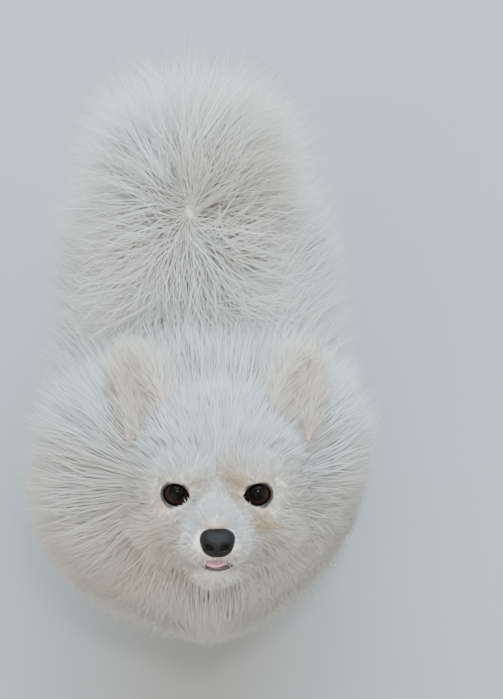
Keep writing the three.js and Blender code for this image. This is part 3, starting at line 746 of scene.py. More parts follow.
@dataclass
class Skin:
    """One closed skin over the whole dog, with the fields that tell its coat how to grow."""

    body: Body
    head: Head
    lengths: CoatLengths = CoatLengths()
    voxel: float = 1.4
    smooth_rounds: int = 3
    soft_rounds: int = 40
    socket: float = EYE_RADIUS + 0.15
    nose_tip: tuple[float, float, float] = (0.0, -34.0, -18.0)
    plume_crown: tuple[float, float, float] = (0.0, 86.0, 248.0)
    piece: bpy.types.Object = field(init=False)
    points: np.ndarray = field(init=False)
    normals: np.ndarray = field(init=False)
    share: np.ndarray = field(init=False)
    lie: np.ndarray = field(init=False)
    length: np.ndarray = field(init=False)
    soft: np.ndarray = field(init=False)
    lift: np.ndarray = field(init=False)
    tangle: np.ndarray = field(init=False)

    def parts(self) -> list[tuple[Region, Form]]:
        """Every form under the skin with its region.

        Returns:
            Pairs of region and form.
        """
        body, head = self.body, self.head
        made = [(Region.TRUNK, body.trunk()), (Region.NECK, body.neck()), (Region.TAIL, body.tail())]
        made += [(Region.LEG, leg) for leg in body.legs()]
        made += [(Region.PAW, paw) for paw in body.paws()]
        made += [(Region.HEAD, form.in_head()) for form in [head.skull(), *head.masses()]]
        made += [(Region.EAR, head.ear(side).in_head()) for side in SIDES]
        return made

    def build(self) -> bpy.types.Object:
        """Fuses the forms, opens the lids and the mouth, and reads the result.

        Returns:
            The skin's object.
        """
        parts = self.parts()
        self.piece = object_of("skin", Form.joined([form for _, form in parts]))
        remesh = self.piece.modifiers.new("fuse", "REMESH")
        remesh.mode, remesh.voxel_size, remesh.use_smooth_shade = "VOXEL", self.voxel * MM, True
        smooth = self.piece.modifiers.new("smooth", "SMOOTH")
        smooth.factor, smooth.iterations = 0.5, self.smooth_rounds
        settle_modifiers(self.piece)
        self.cut()
        mesh = self.piece.data
        self.points = rows_of(mesh.vertices, "co") / MM - SHIFT
        self.normals = rows_of(mesh.vertex_normals, "vector")
        self.mark(parts)
        self.soft = unit(self.spread(self.normals, self.soft_rounds))
        self.comb()
        self.unwrap()
        keep_points(mesh, "root", HeadFrame.into(self.points))
        keep_points(mesh, "along", np.zeros(len(self.points)))
        keep_points(mesh, "ear", self.share[:, Region.EAR])
        keep_points(mesh, "dark", self.dark_edges())
        return self.piece

    def cut(self) -> None:
        """Takes the eyeballs, the lids' openings and the mouth out of the skin."""
        cutters = [self.head.mouth_cut().in_head()]
        for side in SIDES:
            cutters.append(self.head.eye_cut(side).in_head())
            cutters.append(ball(tuple(self.head.eye_centre(side)), (self.socket,) * 3, 48).in_head())
        for number, form in enumerate(cutters):
            tool = object_of(f"cut_{number}", form)
            carve = self.piece.modifiers.new("carve", "BOOLEAN")
            carve.operation, carve.solver, carve.object = "DIFFERENCE", "EXACT", tool
            settle_modifiers(self.piece)
            bpy.data.objects.remove(tool)
        self.piece.data.polygons.foreach_set("use_smooth", [True] * len(self.piece.data.polygons))

    def spread(self, values: np.ndarray, times: int) -> np.ndarray:
        """Evens values out along the mesh.

        Args:
            values: one row a vertex.
            times: how many rounds.

        Returns:
            The softened rows.
        """
        edges = np.empty(len(self.piece.data.edges) * 2, np.int32)
        self.piece.data.edges.foreach_get("vertices", edges)
        a, b = edges.reshape(-1, 2).T
        count = len(self.points)
        degree = np.bincount(a, minlength=count) + np.bincount(b, minlength=count)
        out = values.copy()
        for _ in range(times):
            for column in range(out.shape[1]):
                total = np.bincount(a, out[b, column], count) + np.bincount(b, out[a, column], count)
                out[:, column] = 0.4 * out[:, column] + 0.6 * total / np.maximum(degree, 1)
        return out

    def mark(self, parts: list[tuple[Region, Form]]) -> None:
        """Finds how much of each region every vertex belongs to.

        Args:
            parts: the forms under the skin with their regions.
        """
        tree = KDTree(sum(len(form.points) for _, form in parts))
        labels = []
        for region, form in parts:
            for point in form.points:
                tree.insert(point, len(labels))
                labels.append(region)
        tree.balance()
        nearest = np.array([labels[tree.find(point)[1]] for point in self.points])
        self.share = self.spread(np.eye(len(Region))[nearest], 12)

    def head_lie(self, local: np.ndarray) -> np.ndarray:
        """The hair of the head runs back from the nose, and away from each eye beside it.

        Args:
            local: the vertices in the head's frame.

        Returns:
            One direction a vertex.
        """
        flow = unit(unit(local - np.array(self.nose_tip)) + np.array([0, 0.35, -0.1]))
        for side in SIDES:
            from_eye = local - self.head.eye_centre(side)
            near = (1 - ramp(np.linalg.norm(from_eye, axis=1), 13, 20))[:, None]
            flow = flow * (1 - near) + unit(from_eye * [1.0, 0.2, 1.0]) * near
        return HeadFrame.turned(flow)

    def trunk_lie(self) -> np.ndarray:
        """The hair of the trunk runs back and down, straight down at the chest and behind the rump.

        Returns:
            One direction a vertex.
        """
        points, normals = self.points, self.normals
        fore = np.clip((-70 - points[:, 1]) / 40, 0, 1)
        rear = np.clip((points[:, 1] - 92) / 34, 0, 1)
        across = np.abs(normals[:, 0])
        down = -0.25 - 0.45 * across - fore - 0.8 * rear
        return np.stack([0.3 * normals[:, 0], 1 - fore - 0.4 * rear, down], -1)

    def tail_lie(self) -> np.ndarray:
        """The plume fans to both sides, forward at its tip and back at its root.

        Returns:
            One direction a vertex.
        """
        points, normals = self.points, self.normals
        side = np.sign(normals[:, 0] + 0.02 * np.sin(points[:, 1]))
        fan = np.interp(points[:, 1], [32, 78, 111, 125], [-0.9, -0.1, 0.75, 1.0])
        flank = ramp(np.abs(normals[:, 0]), 0.05, 0.6)
        along = fan + 0.7 * np.sign(fan) * (1 - flank)
        return np.stack([side * (0.3 + 0.7 * flank), along, np.full_like(fan, -0.1)], -1)

    def comb(self) -> None:
        """Sets the lie, the length, the lift and the tangle of the coat at each vertex."""
        points, normals, share = self.points, self.normals, self.share
        local = HeadFrame.into(points)
        ones = np.ones(len(points))
        ruff_from = HeadFrame.out(np.array([self.nose_tip]))[0]
        lies = {
            Region.TRUNK: self.trunk_lie(),
            Region.NECK: unit(unit(points - ruff_from) + np.array([0, 0.1, -0.55])),
            Region.HEAD: self.head_lie(local),
            Region.EAR: HeadFrame.turned(np.stack([0.35 * np.sign(local[:, 0]), 0.1 * ones, ones], -1)),
            Region.TAIL: self.tail_lie(),
            Region.LEG: np.stack([0.1 * np.sign(points[:, 0]), 0.35 * ones, -ones], -1),
            Region.PAW: np.stack([0 * ones, -ones, -0.35 * ones], -1),
        }
        lie = sum(share[:, region : region + 1] * unit(each) for region, each in lies.items())
        lie = self.spread(on_surface(lie, normals), 10)
        self.lie = on_surface(lie, normals)
        self.length = self.measure(local)
        from_crown = np.linalg.norm(points - np.array(self.plume_crown), axis=1)
        self.tangle = 1 + 3.4 * share[:, Region.TAIL] * (1 - ramp(from_crown, 8, 34))
        mane = np.clip(normals[:, 1], 0, 1) * 20 + np.clip(normals[:, 2], 0, 1) * 8
        tail = 26 * ramp(points[:, 1], 96, 120)
        crown = 10 * ramp(local[:, 2], 10, 30)
        lift = share[:, Region.NECK] * mane + share[:, Region.TAIL] * tail
        self.lift = lift + share[:, Region.HEAD] * crown

    def measure(self, local: np.ndarray) -> np.ndarray:
        """The coat's length at each vertex.

        Args:
            local: the vertices in the head's frame.

        Returns:
            One length a vertex, in millimetres.
        """
        points, normals, share, long = self.points, self.normals, self.share, self.lengths
        ones = np.ones(len(points))
        face = np.array([0.0, -24.0, -14.0])
        away = np.linalg.norm((local - face) * np.array([1.0, 0.7, 1.0]), axis=1)
        head = long.nose + long.head_more * ramp(away, 18, 60)
        for side in SIDES:
            from_eye = np.linalg.norm(local - self.head.eye_centre(side), axis=1)
            head = np.minimum(head, long.lid + 1.0 * np.maximum(from_eye - 10.5, 0))
        belly = np.clip(-normals[:, 2] - 0.3, 0, 1)
        flank = long.flank_share + (1 - long.flank_share) * ramp(points[:, 2], 115, 175)
        breeches = long.breeches_more * np.clip(normals[:, 1], 0, 1)
        each = {
            Region.TRUNK: long.trunk * (1 - long.belly_less * belly) * flank,
            Region.NECK: long.neck + long.chest_more * np.clip(-normals[:, 1], 0, 1),
            Region.HEAD: head,
            Region.EAR: long.ear * ones,
            Region.TAIL: long.tail * ones,
            Region.LEG: long.leg + long.thigh_more * ramp(points[:, 2], 30, 90) + breeches,
            Region.PAW: long.paw * ones,
        }
        return sum(share[:, region] * values for region, values in each.items())

    def dark_edges(self) -> np.ndarray:
        """Where the skin is dark: round the lids and at the mouth.

        Returns:
            A share from 0 to 1 a vertex.
        """
        local = HeadFrame.into(self.points)
        dark = np.zeros(len(local))
        for side in SIDES:
            near = nearest_of(local, self.head.opening(side, 10.0, steps=40))
            dark = np.maximum(dark, 1 - ramp(near, 1.0, 2.4))
        mouth = (np.abs(local[:, 0]) < 9.5) & (local[:, 1] < -4) & (local[:, 1] > -30)
        return np.maximum(dark, mouth * (1 - ramp(np.abs(local[:, 2] + 29.9), 1.5, 2.3)))

    @staticmethod
    def envelope(points: np.ndarray) -> np.ndarray:
        """The outward direction of the whole fluffy outline: a long body and a round front.

        Args:
            points: places on the coat.

        Returns:
            One direction a point.
        """
        body = unit((points - [0, 15, 150]) / np.array([95.0, 180.0, 92.0]) ** 2)
        front = unit((points - [3, -66, 200]) / np.array([104.0, 92.0, 112.0]) ** 2)
        share = ramp(-points[..., 1], -12, 52)[..., None]
        return unit(body * (1 - share) + front * share)

    def unwrap(self) -> None:
        """Lays the skin out flat on the map that its coat shares."""
        bpy.context.view_layer.objects.active = self.piece
        self.piece.select_set(True)
        self.piece.data.uv_layers.new(name=COAT_MAP)
        bpy.ops.object.mode_set(mode="EDIT")
        bpy.ops.mesh.select_all(action="SELECT")
        bpy.ops.uv.smart_project(angle_limit=math.radians(66), island_margin=0.002)
        bpy.ops.object.mode_set(mode="OBJECT")
        self.piece.select_set(False)


@dataclass(frozen=True)
class Outline:
    """The coat's outline from above: how far its tips reach to each side along the body, in millimetres."""

    rows: tuple[tuple[float, float, float], ...] = (
        (-156, -8, 8),
        (-146, -24, 20),
        (-138, -44, 34),
        (-130, -64, 46),
        (-119, -78, 61),
        (-104, -93, 74),
        (-88, -100, 85),
        (-54, -104, 98),
        (-15, -102, 97),
        (22, -99, 94),
        (50, -96, 93),
        (84, -97, 95),
        (114, -100, 94),
        (140, -100, 92),
        (160, -94, 84),
        (176, -84, 74),
        (190, -66, 58),
        (200, -40, 34),
    )
    furthest_back: float = 190.0
    furthest_front: float = 152.0
    chest_less: float = 16.0
    shortest: float = 0.45

    def share(self, start: np.ndarray, tip: np.ndarray, play: np.ndarray) -> np.ndarray:
        """How much of each strand stays inside the outline.

        Args:
            start: the roots.
            tip: the tips.
            play: how far each tip may pass the outline, as a share of it.

        Returns:
            A share of the length for each strand.
        """
        rows = np.array(self.rows)
        share = np.ones(len(start))
        for _ in range(3):
            end = start + (tip - start) * share[:, None]
            left = np.interp(end[:, 1], rows[:, 0], rows[:, 1]) * play
            right = np.interp(end[:, 1], rows[:, 0], rows[:, 2]) * play
            over = np.where(end[:, 0] > 0, end[:, 0] / right, end[:, 0] / left)
            front = self.furthest_front - self.chest_less * ramp(-end[:, 2], -170, -90)
            over = np.maximum(over, np.maximum(end[:, 1] / self.furthest_back, -end[:, 1] / front))
            share = np.where(over > 1, share * np.clip(1 - (over - 1) * 1.6, self.shortest, 1), share)
        return share


@dataclass(frozen=True)
class Growth:
    """How one kind of coat grows from the skin.

    width is in millimetres. rise and fall are the angles off the skin at the root and at the tip, in degrees.
    sway and stray turn whole tufts and single strands aside, and clump_gap is the space between tufts.
    whole is the share of light that falls as on the whole outline.
    """

    name: str
    region: Region
    count: int
    width: float
    rise: float
    fall: float
    sway: float = 0.16
    stray: float = 0.24
    droop: float = 0.15
    curl: float = 0.03
    clump_gap: float = 9.0
    pull: float = 0.6
    longer: float = 1.0
    rings: int = 2
    slot: str = "coat"
    zone: Zone = Zone.ALL
    whole: float = 0.7


@dataclass(frozen=True)
class Bare:
    """Where no hair grows: in the head's frame, but the pads by their height above the floor."""

    eye: float = 10.15
    lid_line: float = 1.3
    nose_at: tuple[float, float, float] = (0, -31, -17.5)
    nose_reach: tuple[float, float, float] = (9.2, 8.5, 7.6)
    mouth_half: float = 13
    mouth_depth: tuple[float, float] = (-28.5, -6)
    mouth_level: float = -29.4
    mouth_open: float = 2.6
    pad: float = 2.5


@dataclass
class Coat:
    """The coat: tapered strands that leave the skin, bend over and gather into tufts."""

    skin: Skin
    finish: bpy.types.Material
    outline: Outline = Outline()
    bare: Bare = Bare()
    most_triangles: int = 190000
    patch: float = 0.003
    random: np.random.Generator = field(default_factory=lambda: np.random.default_rng(SEED))

    def __post_init__(self) -> None:
        """Reads the skin's triangles once."""
        mesh = self.skin.piece.data
        mesh.calc_loop_triangles()
        count = len(mesh.loop_triangles)
        corners, loops = np.empty(count * 3, np.int32), np.empty(count * 3, np.int32)
        mesh.loop_triangles.foreach_get("vertices", corners)
        mesh.loop_triangles.foreach_get("loops", loops)
        self.corners = corners.reshape(-1, 3)
        self.loops = loops.reshape(-1, 3)
        uv = np.empty(len(mesh.loops) * 2, np.float32)
        mesh.uv_layers[COAT_MAP].data.foreach_get("uv", uv)
        self.uv = uv.reshape(-1, 2)
        a, b, c = (self.skin.points[self.corners[:, k]] for k in range(3))
        self.area = np.linalg.norm(np.cross(b - a, c - a), axis=1) / 2
        self.middle = (a + b + c) / 3

    def face_share(self) -> np.ndarray:
        """How much of each triangle lies on the short-haired face.

        Returns:
            A share from 0 to 1 a triangle.
        """
        local = HeadFrame.into(self.middle)
        short = self.skin.length[self.corners].mean(1)
        return (1 - ramp(short, 11, 19)) * ramp(-local[:, 1], -34, -26)

    def roots(self, growth: Growth) -> dict[str, np.ndarray]:
        """Draws places on the skin for one kind of coat.

        Args:
            growth: the kind of coat.

        Returns:
            Position, normal, lie, length and map place of each root.
        """
        share = self.skin.share[:, growth.region]
        weight = self.area * share[self.corners].mean(1) ** 2
        if growth.zone is not Zone.ALL:
            on_face = self.face_share()
            weight = weight * (on_face if growth.zone is Zone.FACE else 1 - on_face)
        weight = weight * self.growing(growth)
        weight = weight / weight.sum()
        chosen = self.random.choice(len(weight), growth.count, p=weight)
        mix = self.random.random((growth.count, 2))
        fold = mix.sum(1) > 1
        mix[fold] = 1 - mix[fold]
        parts = np.stack([1 - mix.sum(1), mix[:, 0], mix[:, 1]], -1)

        def blend(rows: np.ndarray) -> np.ndarray:
            """Reads a value of the skin at each root."""
            return np.einsum("nk,nk...->n...", parts, rows[self.corners[chosen]])

        normal = unit(blend(self.skin.normals))
        return {
            "point": blend(self.skin.points),
            "normal": normal,
            "soft": unit(blend(self.skin.soft)),
            "lie": on_surface(blend(self.skin.lie), normal),
            "length": blend(self.skin.length) * growth.longer,
            "lift": blend(self.skin.lift),
            "tangle": blend(self.skin.tangle),
            "uv": np.einsum("nk,nkj->nj", parts, self.uv[self.loops[chosen]]),
            "ear": blend(self.skin.share[:, Region.EAR]),
        }

    def growing(self, growth: Growth) -> np.ndarray:
        """Keeps hair off the eyes, the nose, the lips, the mouth and the pads.

        Args:
            growth: the kind of coat.

        Returns:
            How densely each triangle is covered.
        """
        head, bare = self.skin.head, self.bare
        local = HeadFrame.into(self.middle)
        keep = np.ones(len(local))
        for side in SIDES:
            from_eye = np.linalg.norm(local - head.eye_centre(side), axis=1)
            keep *= from_eye >= bare.eye
            if growth.zone is Zone.FACE:
                keep *= nearest_of(local, head.opening(side, 10.3, steps=24)) > bare.lid_line
        nose = np.linalg.norm((local - bare.nose_at) / np.array(bare.nose_reach), axis=1)
        keep *= nose > 1.0
        front, back = bare.mouth_depth
        across = np.abs(local[:, 0]) < bare.mouth_half
        level = np.abs(local[:, 2] - bare.mouth_level) < bare.mouth_open
        keep *= ~(across & level & (local[:, 1] > front) & (local[:, 1] < back))
        keep *= self.middle[:, 2] > bare.pad
        if growth.region is Region.TRUNK:
            up = self.skin.normals[self.corners].mean(1)[:, 2]
            covered = (up > 0.55) & (self.middle[:, 1] > 30)
            keep = keep * np.where(covered, 0.5, np.where(up < -0.5, 0.6, 1.0))
        return keep

    def clumps(self, points: np.ndarray, gap: float) -> np.ndarray:
        """Gives each root the index of the strand that leads its tuft.

        Args:
            points: the roots.
            gap: the space from one tuft to the next.

        Returns:
            One index a root.
        """
        cells = np.floor((points + self.random.normal(0, gap * 0.25, points.shape)) / gap).astype(int)
        _, leaders = np.unique(cells, axis=0, return_index=True)
        tree = KDTree(len(leaders))
        for number, leader in enumerate(leaders):
            tree.insert(points[leader], number)
        tree.balance()
        return np.array([leaders[tree.find(point)[1]] for point in points])

    def strands(self, growth: Growth) -> dict[str, np.ndarray]:
        """Bends every strand of one kind of coat.

        Args:
            growth: the kind of coat.

        Returns:
            Ring points, tips, normals and what the mesh needs besides.
        """
        grown = self.roots(growth)
        count, draw = growth.count, self.random
        leader = self.clumps(grown["point"], growth.clump_gap)
        normal, lie = grown["normal"], grown["lie"]
        aside = np.cross(lie, normal)
        tuft_sway = draw.normal(0, growth.sway * 1.3, count)[leader]
        sway = (tuft_sway + draw.normal(0, growth.sway * 0.6, count)) * grown["tangle"]
        run = unit(lie + aside * sway[:, None])
        lift = np.radians(grown["lift"] + draw.normal(0, 8, count) + draw.normal(0, 6, count)[leader])
        rise, fall = np.radians(growth.rise) + lift, np.radians(growth.fall) + lift * 1.4
        leave = run * np.cos(rise)[:, None] + normal * np.sin(rise)[:, None]
        turned = unit(run + aside * draw.normal(0, growth.stray, count)[:, None])
        settle = turned * np.cos(fall)[:, None] + normal * np.sin(fall)[:, None]
        settle = unit(settle + np.array([0, 0, -growth.droop]))

        uneven = draw.uniform(0.8, 1.08, count) * draw.uniform(0.88, 1.1, count)[leader]
        length = grown["length"] * uneven
        start = grown["point"] - normal * np.minimum(0.8, 0.045 * grown["length"])[:, None]
        first, second = 0.45, 0.55
        whole = leave * (first * length)[:, None] + settle * (second * length)[:, None]
        length = length * self.outline.share(start, start + whole, draw.uniform(0.93, 1.06, count)[leader])
        bend = start + leave * (first * length)[:, None]
        tip = bend + settle * (second * length)[:, None]

        last_ring = 0.6 if growth.rings == 2 else 0.72
        shares = np.append(np.linspace(0, last_ring, growth.rings), 1.0)
        t = shares[None, :, None]
        curve = (1 - t) ** 2 * start[:, None] + 2 * t * (1 - t) * bend[:, None] + t * t * tip[:, None]
        phase = draw.uniform(0, 2 * math.pi, count)[leader] + draw.normal(0, 0.6, count)
        wave = np.sin(phase[:, None] + shares[None] * 5.5) * growth.curl * length[:, None] * shares[None]
        curve += aside[:, None] * wave[..., None]
        pull = growth.pull * draw.uniform(0.6, 1.1, count)
        gather = np.clip(pull, 0, 0.95)[:, None, None] * t**1.2
        curve += (curve[leader] - curve) * gather
        curve[..., 2] = np.maximum(curve[..., 2], 0.5)
        wide = growth.width * draw.uniform(0.75, 1.25, count)
        tilt = draw.normal(0, 0.10, (count, 3))[leader]
        tint = draw.random(count) * 0.6 + draw.random(count)[leader] * 0.4
        return {**grown, "curve": curve, "wide": wide, "shares": shares, "tilt": tilt, "tint": tint}

    def grow(self, growth: Growth) -> list[bpy.types.Object]:
        """Builds one kind of coat as pieces of a modest size.

        Args:
            growth: the kind of coat.

        Returns:
            Its pieces.
        """
        grown = self.strands(growth)
        order = np.argsort(np.arctan2(grown["point"][:, 0], 60 - grown["point"][:, 1]))
        triangles = growth.count * (growth.rings * 6 - 2)
        number = math.ceil(triangles / self.most_triangles)
        made = []
        for k, picked in enumerate(np.array_split(order, number)):
            name = growth.name if number == 1 else f"{growth.name}_{k + 1}"
            made.append(self.piece(name, grown, picked, growth))
        return made

    def piece(
        self, name: str, grown: dict[str, np.ndarray], picked: np.ndarray, growth: Growth
    ) -> bpy.types.Object:
        """Makes the mesh of some strands.

        Args:
            name: the piece's name.
            grown: all strands of this kind.
            picked: which strands the piece holds.
            growth: the kind of coat.

        Returns:
            The piece.
        """
        curve, normal = grown["curve"][picked], grown["normal"][picked]
        rings, count = growth.rings, len(picked)
        along = unit(np.gradient(curve, axis=1))[:, :rings]
        aside = unit(np.cross(along, normal[:, None]) + 1e-6)
        ridge = np.cross(aside, along)
        profile = np.interp(grown["shares"][:rings], [0, 0.3, 1], [0.85, 1.0, 0.35])
        wide = grown["wide"][picked][:, None, None] * profile[None, :, None]
        middle = curve[:, :rings]
        left, right = middle + aside * wide * 0.5, middle - aside * wide * 0.5
        top = middle + ridge * wide * 0.5
        ring_points = np.stack([left, top, right], 2)
        points = np.concatenate([ring_points.reshape(count, -1, 3), curve[:, -1:]], 1)

        own = unit(grown["soft"][picked])[:, None] * (1 - growth.whole)
        soft = own + Skin.envelope(points) * growth.whole
        soft = unit(soft + grown["tilt"][picked][:, None] + np.array([0, 0, 0.12]))
        hair = np.stack([aside, ridge, -aside], 2).reshape(count, -1, 3)
        lit = soft.copy()
        lit[:, :-1] = unit(soft[:, :-1] + hair * 0.15)

        mesh = self.fast_mesh(name, placed(points.reshape(-1, 3)), *self.faces(count, rings))
        self.dress(mesh, grown, picked, rings)
        mesh.normals_split_custom_set_from_vertices(lit.reshape(-1, 3).tolist())
        piece = bpy.data.objects.new(name, mesh)
        bpy.context.scene.collection.objects.link(piece)
        piece.data.materials.append(self.finish)
        return piece

    @staticmethod
    def faces(count: int, rings: int) -> tuple[np.ndarray, np.ndarray]:
        """The faces of three-sided strands, each closed at its root and pointed at its tip.

        Args:
            count: how many strands.
            rings: rings a strand.

        Returns:
            The quads along the strands, and the triangles at their ends.
        """
        per = rings * 3 + 1
        base = (np.arange(count) * per)[:, None, None]
        quads, triangles = [], [[0, 1, 2]]
        for ring in range(rings - 1):
            low, high = ring * 3, ring * 3 + 3
            quads += [[low + j, high + j, high + (j + 1) % 3, low + (j + 1) % 3] for j in range(3)]
        end = (rings - 1) * 3
        triangles += [[end + j, per - 1, end + (j + 1) % 3] for j in range(3)]
        all_quads, all_triangles = base + np.array(quads)[None], base + np.array(triangles)[None]
        return all_quads.reshape(-1, 4), all_triangles.reshape(-1, 3)

    @staticmethod
    def fast_mesh(name: str, points: np.ndarray, quads: np.ndarray, triangles: np.ndarray) -> bpy.types.Mesh:
        """A mesh straight from arrays.

        Args:
            name: the mesh's name.
            points: its vertices in metres.
            quads: its faces of four corners.
            triangles: its faces of three corners.

        Returns:
            The mesh.
        """
        mesh = bpy.data.meshes.new(name)
        mesh.vertices.add(len(points))
        mesh.vertices.foreach_set("co", points.astype(np.float32).ravel())
        mesh.loops.add(quads.size + triangles.size)
        corners = np.concatenate([quads.ravel(), triangles.ravel()])
        mesh.loops.foreach_set("vertex_index", corners.astype(np.int32))
        mesh.polygons.add(len(quads) + len(triangles))
        starts = np.concatenate([np.arange(len(quads)) * 4, quads.size + np.arange(len(triangles)) * 3])
        mesh.polygons.foreach_set("loop_start", starts.astype(np.int32))
        mesh.update(calc_edges=True)
        mesh.polygons.foreach_set("use_smooth", np.ones(len(mesh.polygons), bool))
        return mesh

    def dress(
        self, mesh: bpy.types.Mesh, grown: dict[str, np.ndarray], picked: np.ndarray, rings: int
    ) -> None:
        """Gives a coat mesh its map and the values that its material reads.

        Args:
            mesh: the mesh.
            grown: all strands of this kind.
            picked: which strands the mesh holds.
            rings: rings a strand.
        """
        per = rings * 3 + 1
        shares = np.append(np.repeat(grown["shares"][:rings], 3), 1.0)
        across = np.append(np.tile([-0.5, 0.0, 0.5], rings), 0.0)
        patch = np.stack([across * self.patch, (shares - 0.5) * self.patch], -1)
        uv = (grown["uv"][picked][:, None] + patch[None]).reshape(-1, 2)
        index = np.empty(len(mesh.loops), np.int32)
        mesh.loops.foreach_get("vertex_index", index)
        layer = mesh.uv_layers.new(name=COAT_MAP)
        layer.data.foreach_set("uv", uv[index].astype(np.float32).ravel())
        keep_points(mesh, "root", np.repeat(HeadFrame.into(grown["point"][picked]), per, 0))
        keep_points(mesh, "along", np.tile(shares, len(picked)))
        keep_points(mesh, "tint", np.repeat(grown["tint"][picked], per))
        keep_points(mesh, "ear", np.repeat(grown["ear"][picked], per))


class Nodes:
    """A material's node tree, built by short calls."""

    def __init__(self, name: str) -> None:
        """Starts a material with an empty tree.

        Args:
            name: the material's name.
        """
        self.material = bpy.data.materials.new(name)
        self.material.use_nodes = True
        self.tree = self.material.node_tree
        self.tree.nodes.clear()
        self.output = self.tree.nodes.new("ShaderNodeOutputMaterial")

    def add(
        self, kind: str, inputs: dict[str | int, object] | None = None, **settings: object
    ) -> bpy.types.Node:
        """Adds a node.

        Args:
            kind: the node's type.
            inputs: a value or a socket for each input.
            settings: the node's own properties.

        Returns:
            The node.
        """
        node = self.tree.nodes.new(kind)
        for key, value in settings.items():
            setattr(node, key, value)
        for key, value in (inputs or {}).items():
            if isinstance(value, bpy.types.NodeSocket):
                self.tree.links.new(value, node.inputs[key])
            else:
                node.inputs[key].default_value = value
        return node

    def read(self, name: str, socket: str) -> bpy.types.NodeSocket:
        """A value stored on the mesh."""
        return self.add("ShaderNodeAttribute", attribute_name=name).outputs[socket]

    def here(self) -> bpy.types.NodeSocket:
        """The place on the object itself."""
        return self.add("ShaderNodeTexCoord").outputs["Object"]

    def sums(self, kind: str, first: object, second: object = 0.0) -> bpy.types.NodeSocket:
        """The result of a sum of two numbers."""
        return self.add("ShaderNodeMath", {0: first, 1: second}, operation=kind, use_clamp=False).outputs[0]

    def vectors(self, kind: str, first: object, second: object) -> bpy.types.NodeSocket:
        """The result of a sum of two vectors."""
        return self.add("ShaderNodeVectorMath", {0: first, 1: second}, operation=kind).outputs[0]

    def stepped(self, value: object, low: float, high: float) -> bpy.types.NodeSocket:
        """A smooth step of a value, from 0 at low to 1 at high."""
        sizes = {"Value": value, "From Min": low, "From Max": high}
        return self.add("ShaderNodeMapRange", sizes, interpolation_type="SMOOTHSTEP").outputs[0]

    def between(self, value: object, low: float, high: float) -> bpy.types.NodeSocket:
        """A number from low to high, by a value from 0 to 1."""
        return self.add("ShaderNodeMapRange", {"Value": value, "To Min": low, "To Max": high}).outputs[0]

    def mixed(self, share: object, first: object, second: object, blend: str = "MIX") -> bpy.types.NodeSocket:
        """A colour between two.

        Args:
            share: how much of the second there is.
            first: a colour or its socket.
            second: a colour or its socket.
            blend: how they are put together.

        Returns:
            The colour's socket.
        """
        node = self.add("ShaderNodeMix", data_type="RGBA", blend_type=blend)
        for socket, value in ((node.inputs[0], share), (node.inputs[6], first), (node.inputs[7], second)):
            if isinstance(value, bpy.types.NodeSocket):
                self.tree.links.new(value, socket)
            else:
                socket.default_value = value
        return node.outputs[2]

    def noise(self, at: bpy.types.NodeSocket, scale: float, detail: float = 2.0) -> bpy.types.NodeSocket:
        """A noise value at a place."""
        return self.add("ShaderNodeTexNoise", {"Vector": at, "Scale": scale, "Detail": detail}).outputs[0]

    def bump(self, height: bpy.types.NodeSocket, strength: float, distance: float) -> bpy.types.NodeSocket:
        """A normal raised by a height."""
        sizes = {"Strength": strength, "Distance": distance, "Height": height}
        return self.add("ShaderNodeBump", sizes).outputs[0]

    def surface(self, inputs: dict[str | int, object]) -> bpy.types.NodeSocket:
        """A principled surface with its sockets set."""
        return self.add("ShaderNodeBsdfPrincipled", inputs).outputs[0]

    def finish(self, surface: bpy.types.NodeSocket) -> bpy.types.Material:
        """Joins the surface to the output."""
        self.tree.links.new(surface, self.output.inputs["Surface"])
        return self.material


@dataclass(frozen=True)
class Patch:
    """A soft-edged marking in the head's frame, in millimetres; some patches hold painted shade instead."""

    centre: tuple[float, float, float]
    reach: tuple[float, float, float]
    colour: Colour
    strength: float


def on_back(x: float, y: float, z: float) -> tuple[float, float, float]:
    """A place on the dog's back, taken to the head's frame."""
    return tuple(HeadFrame.into(np.array([x, y, z])))


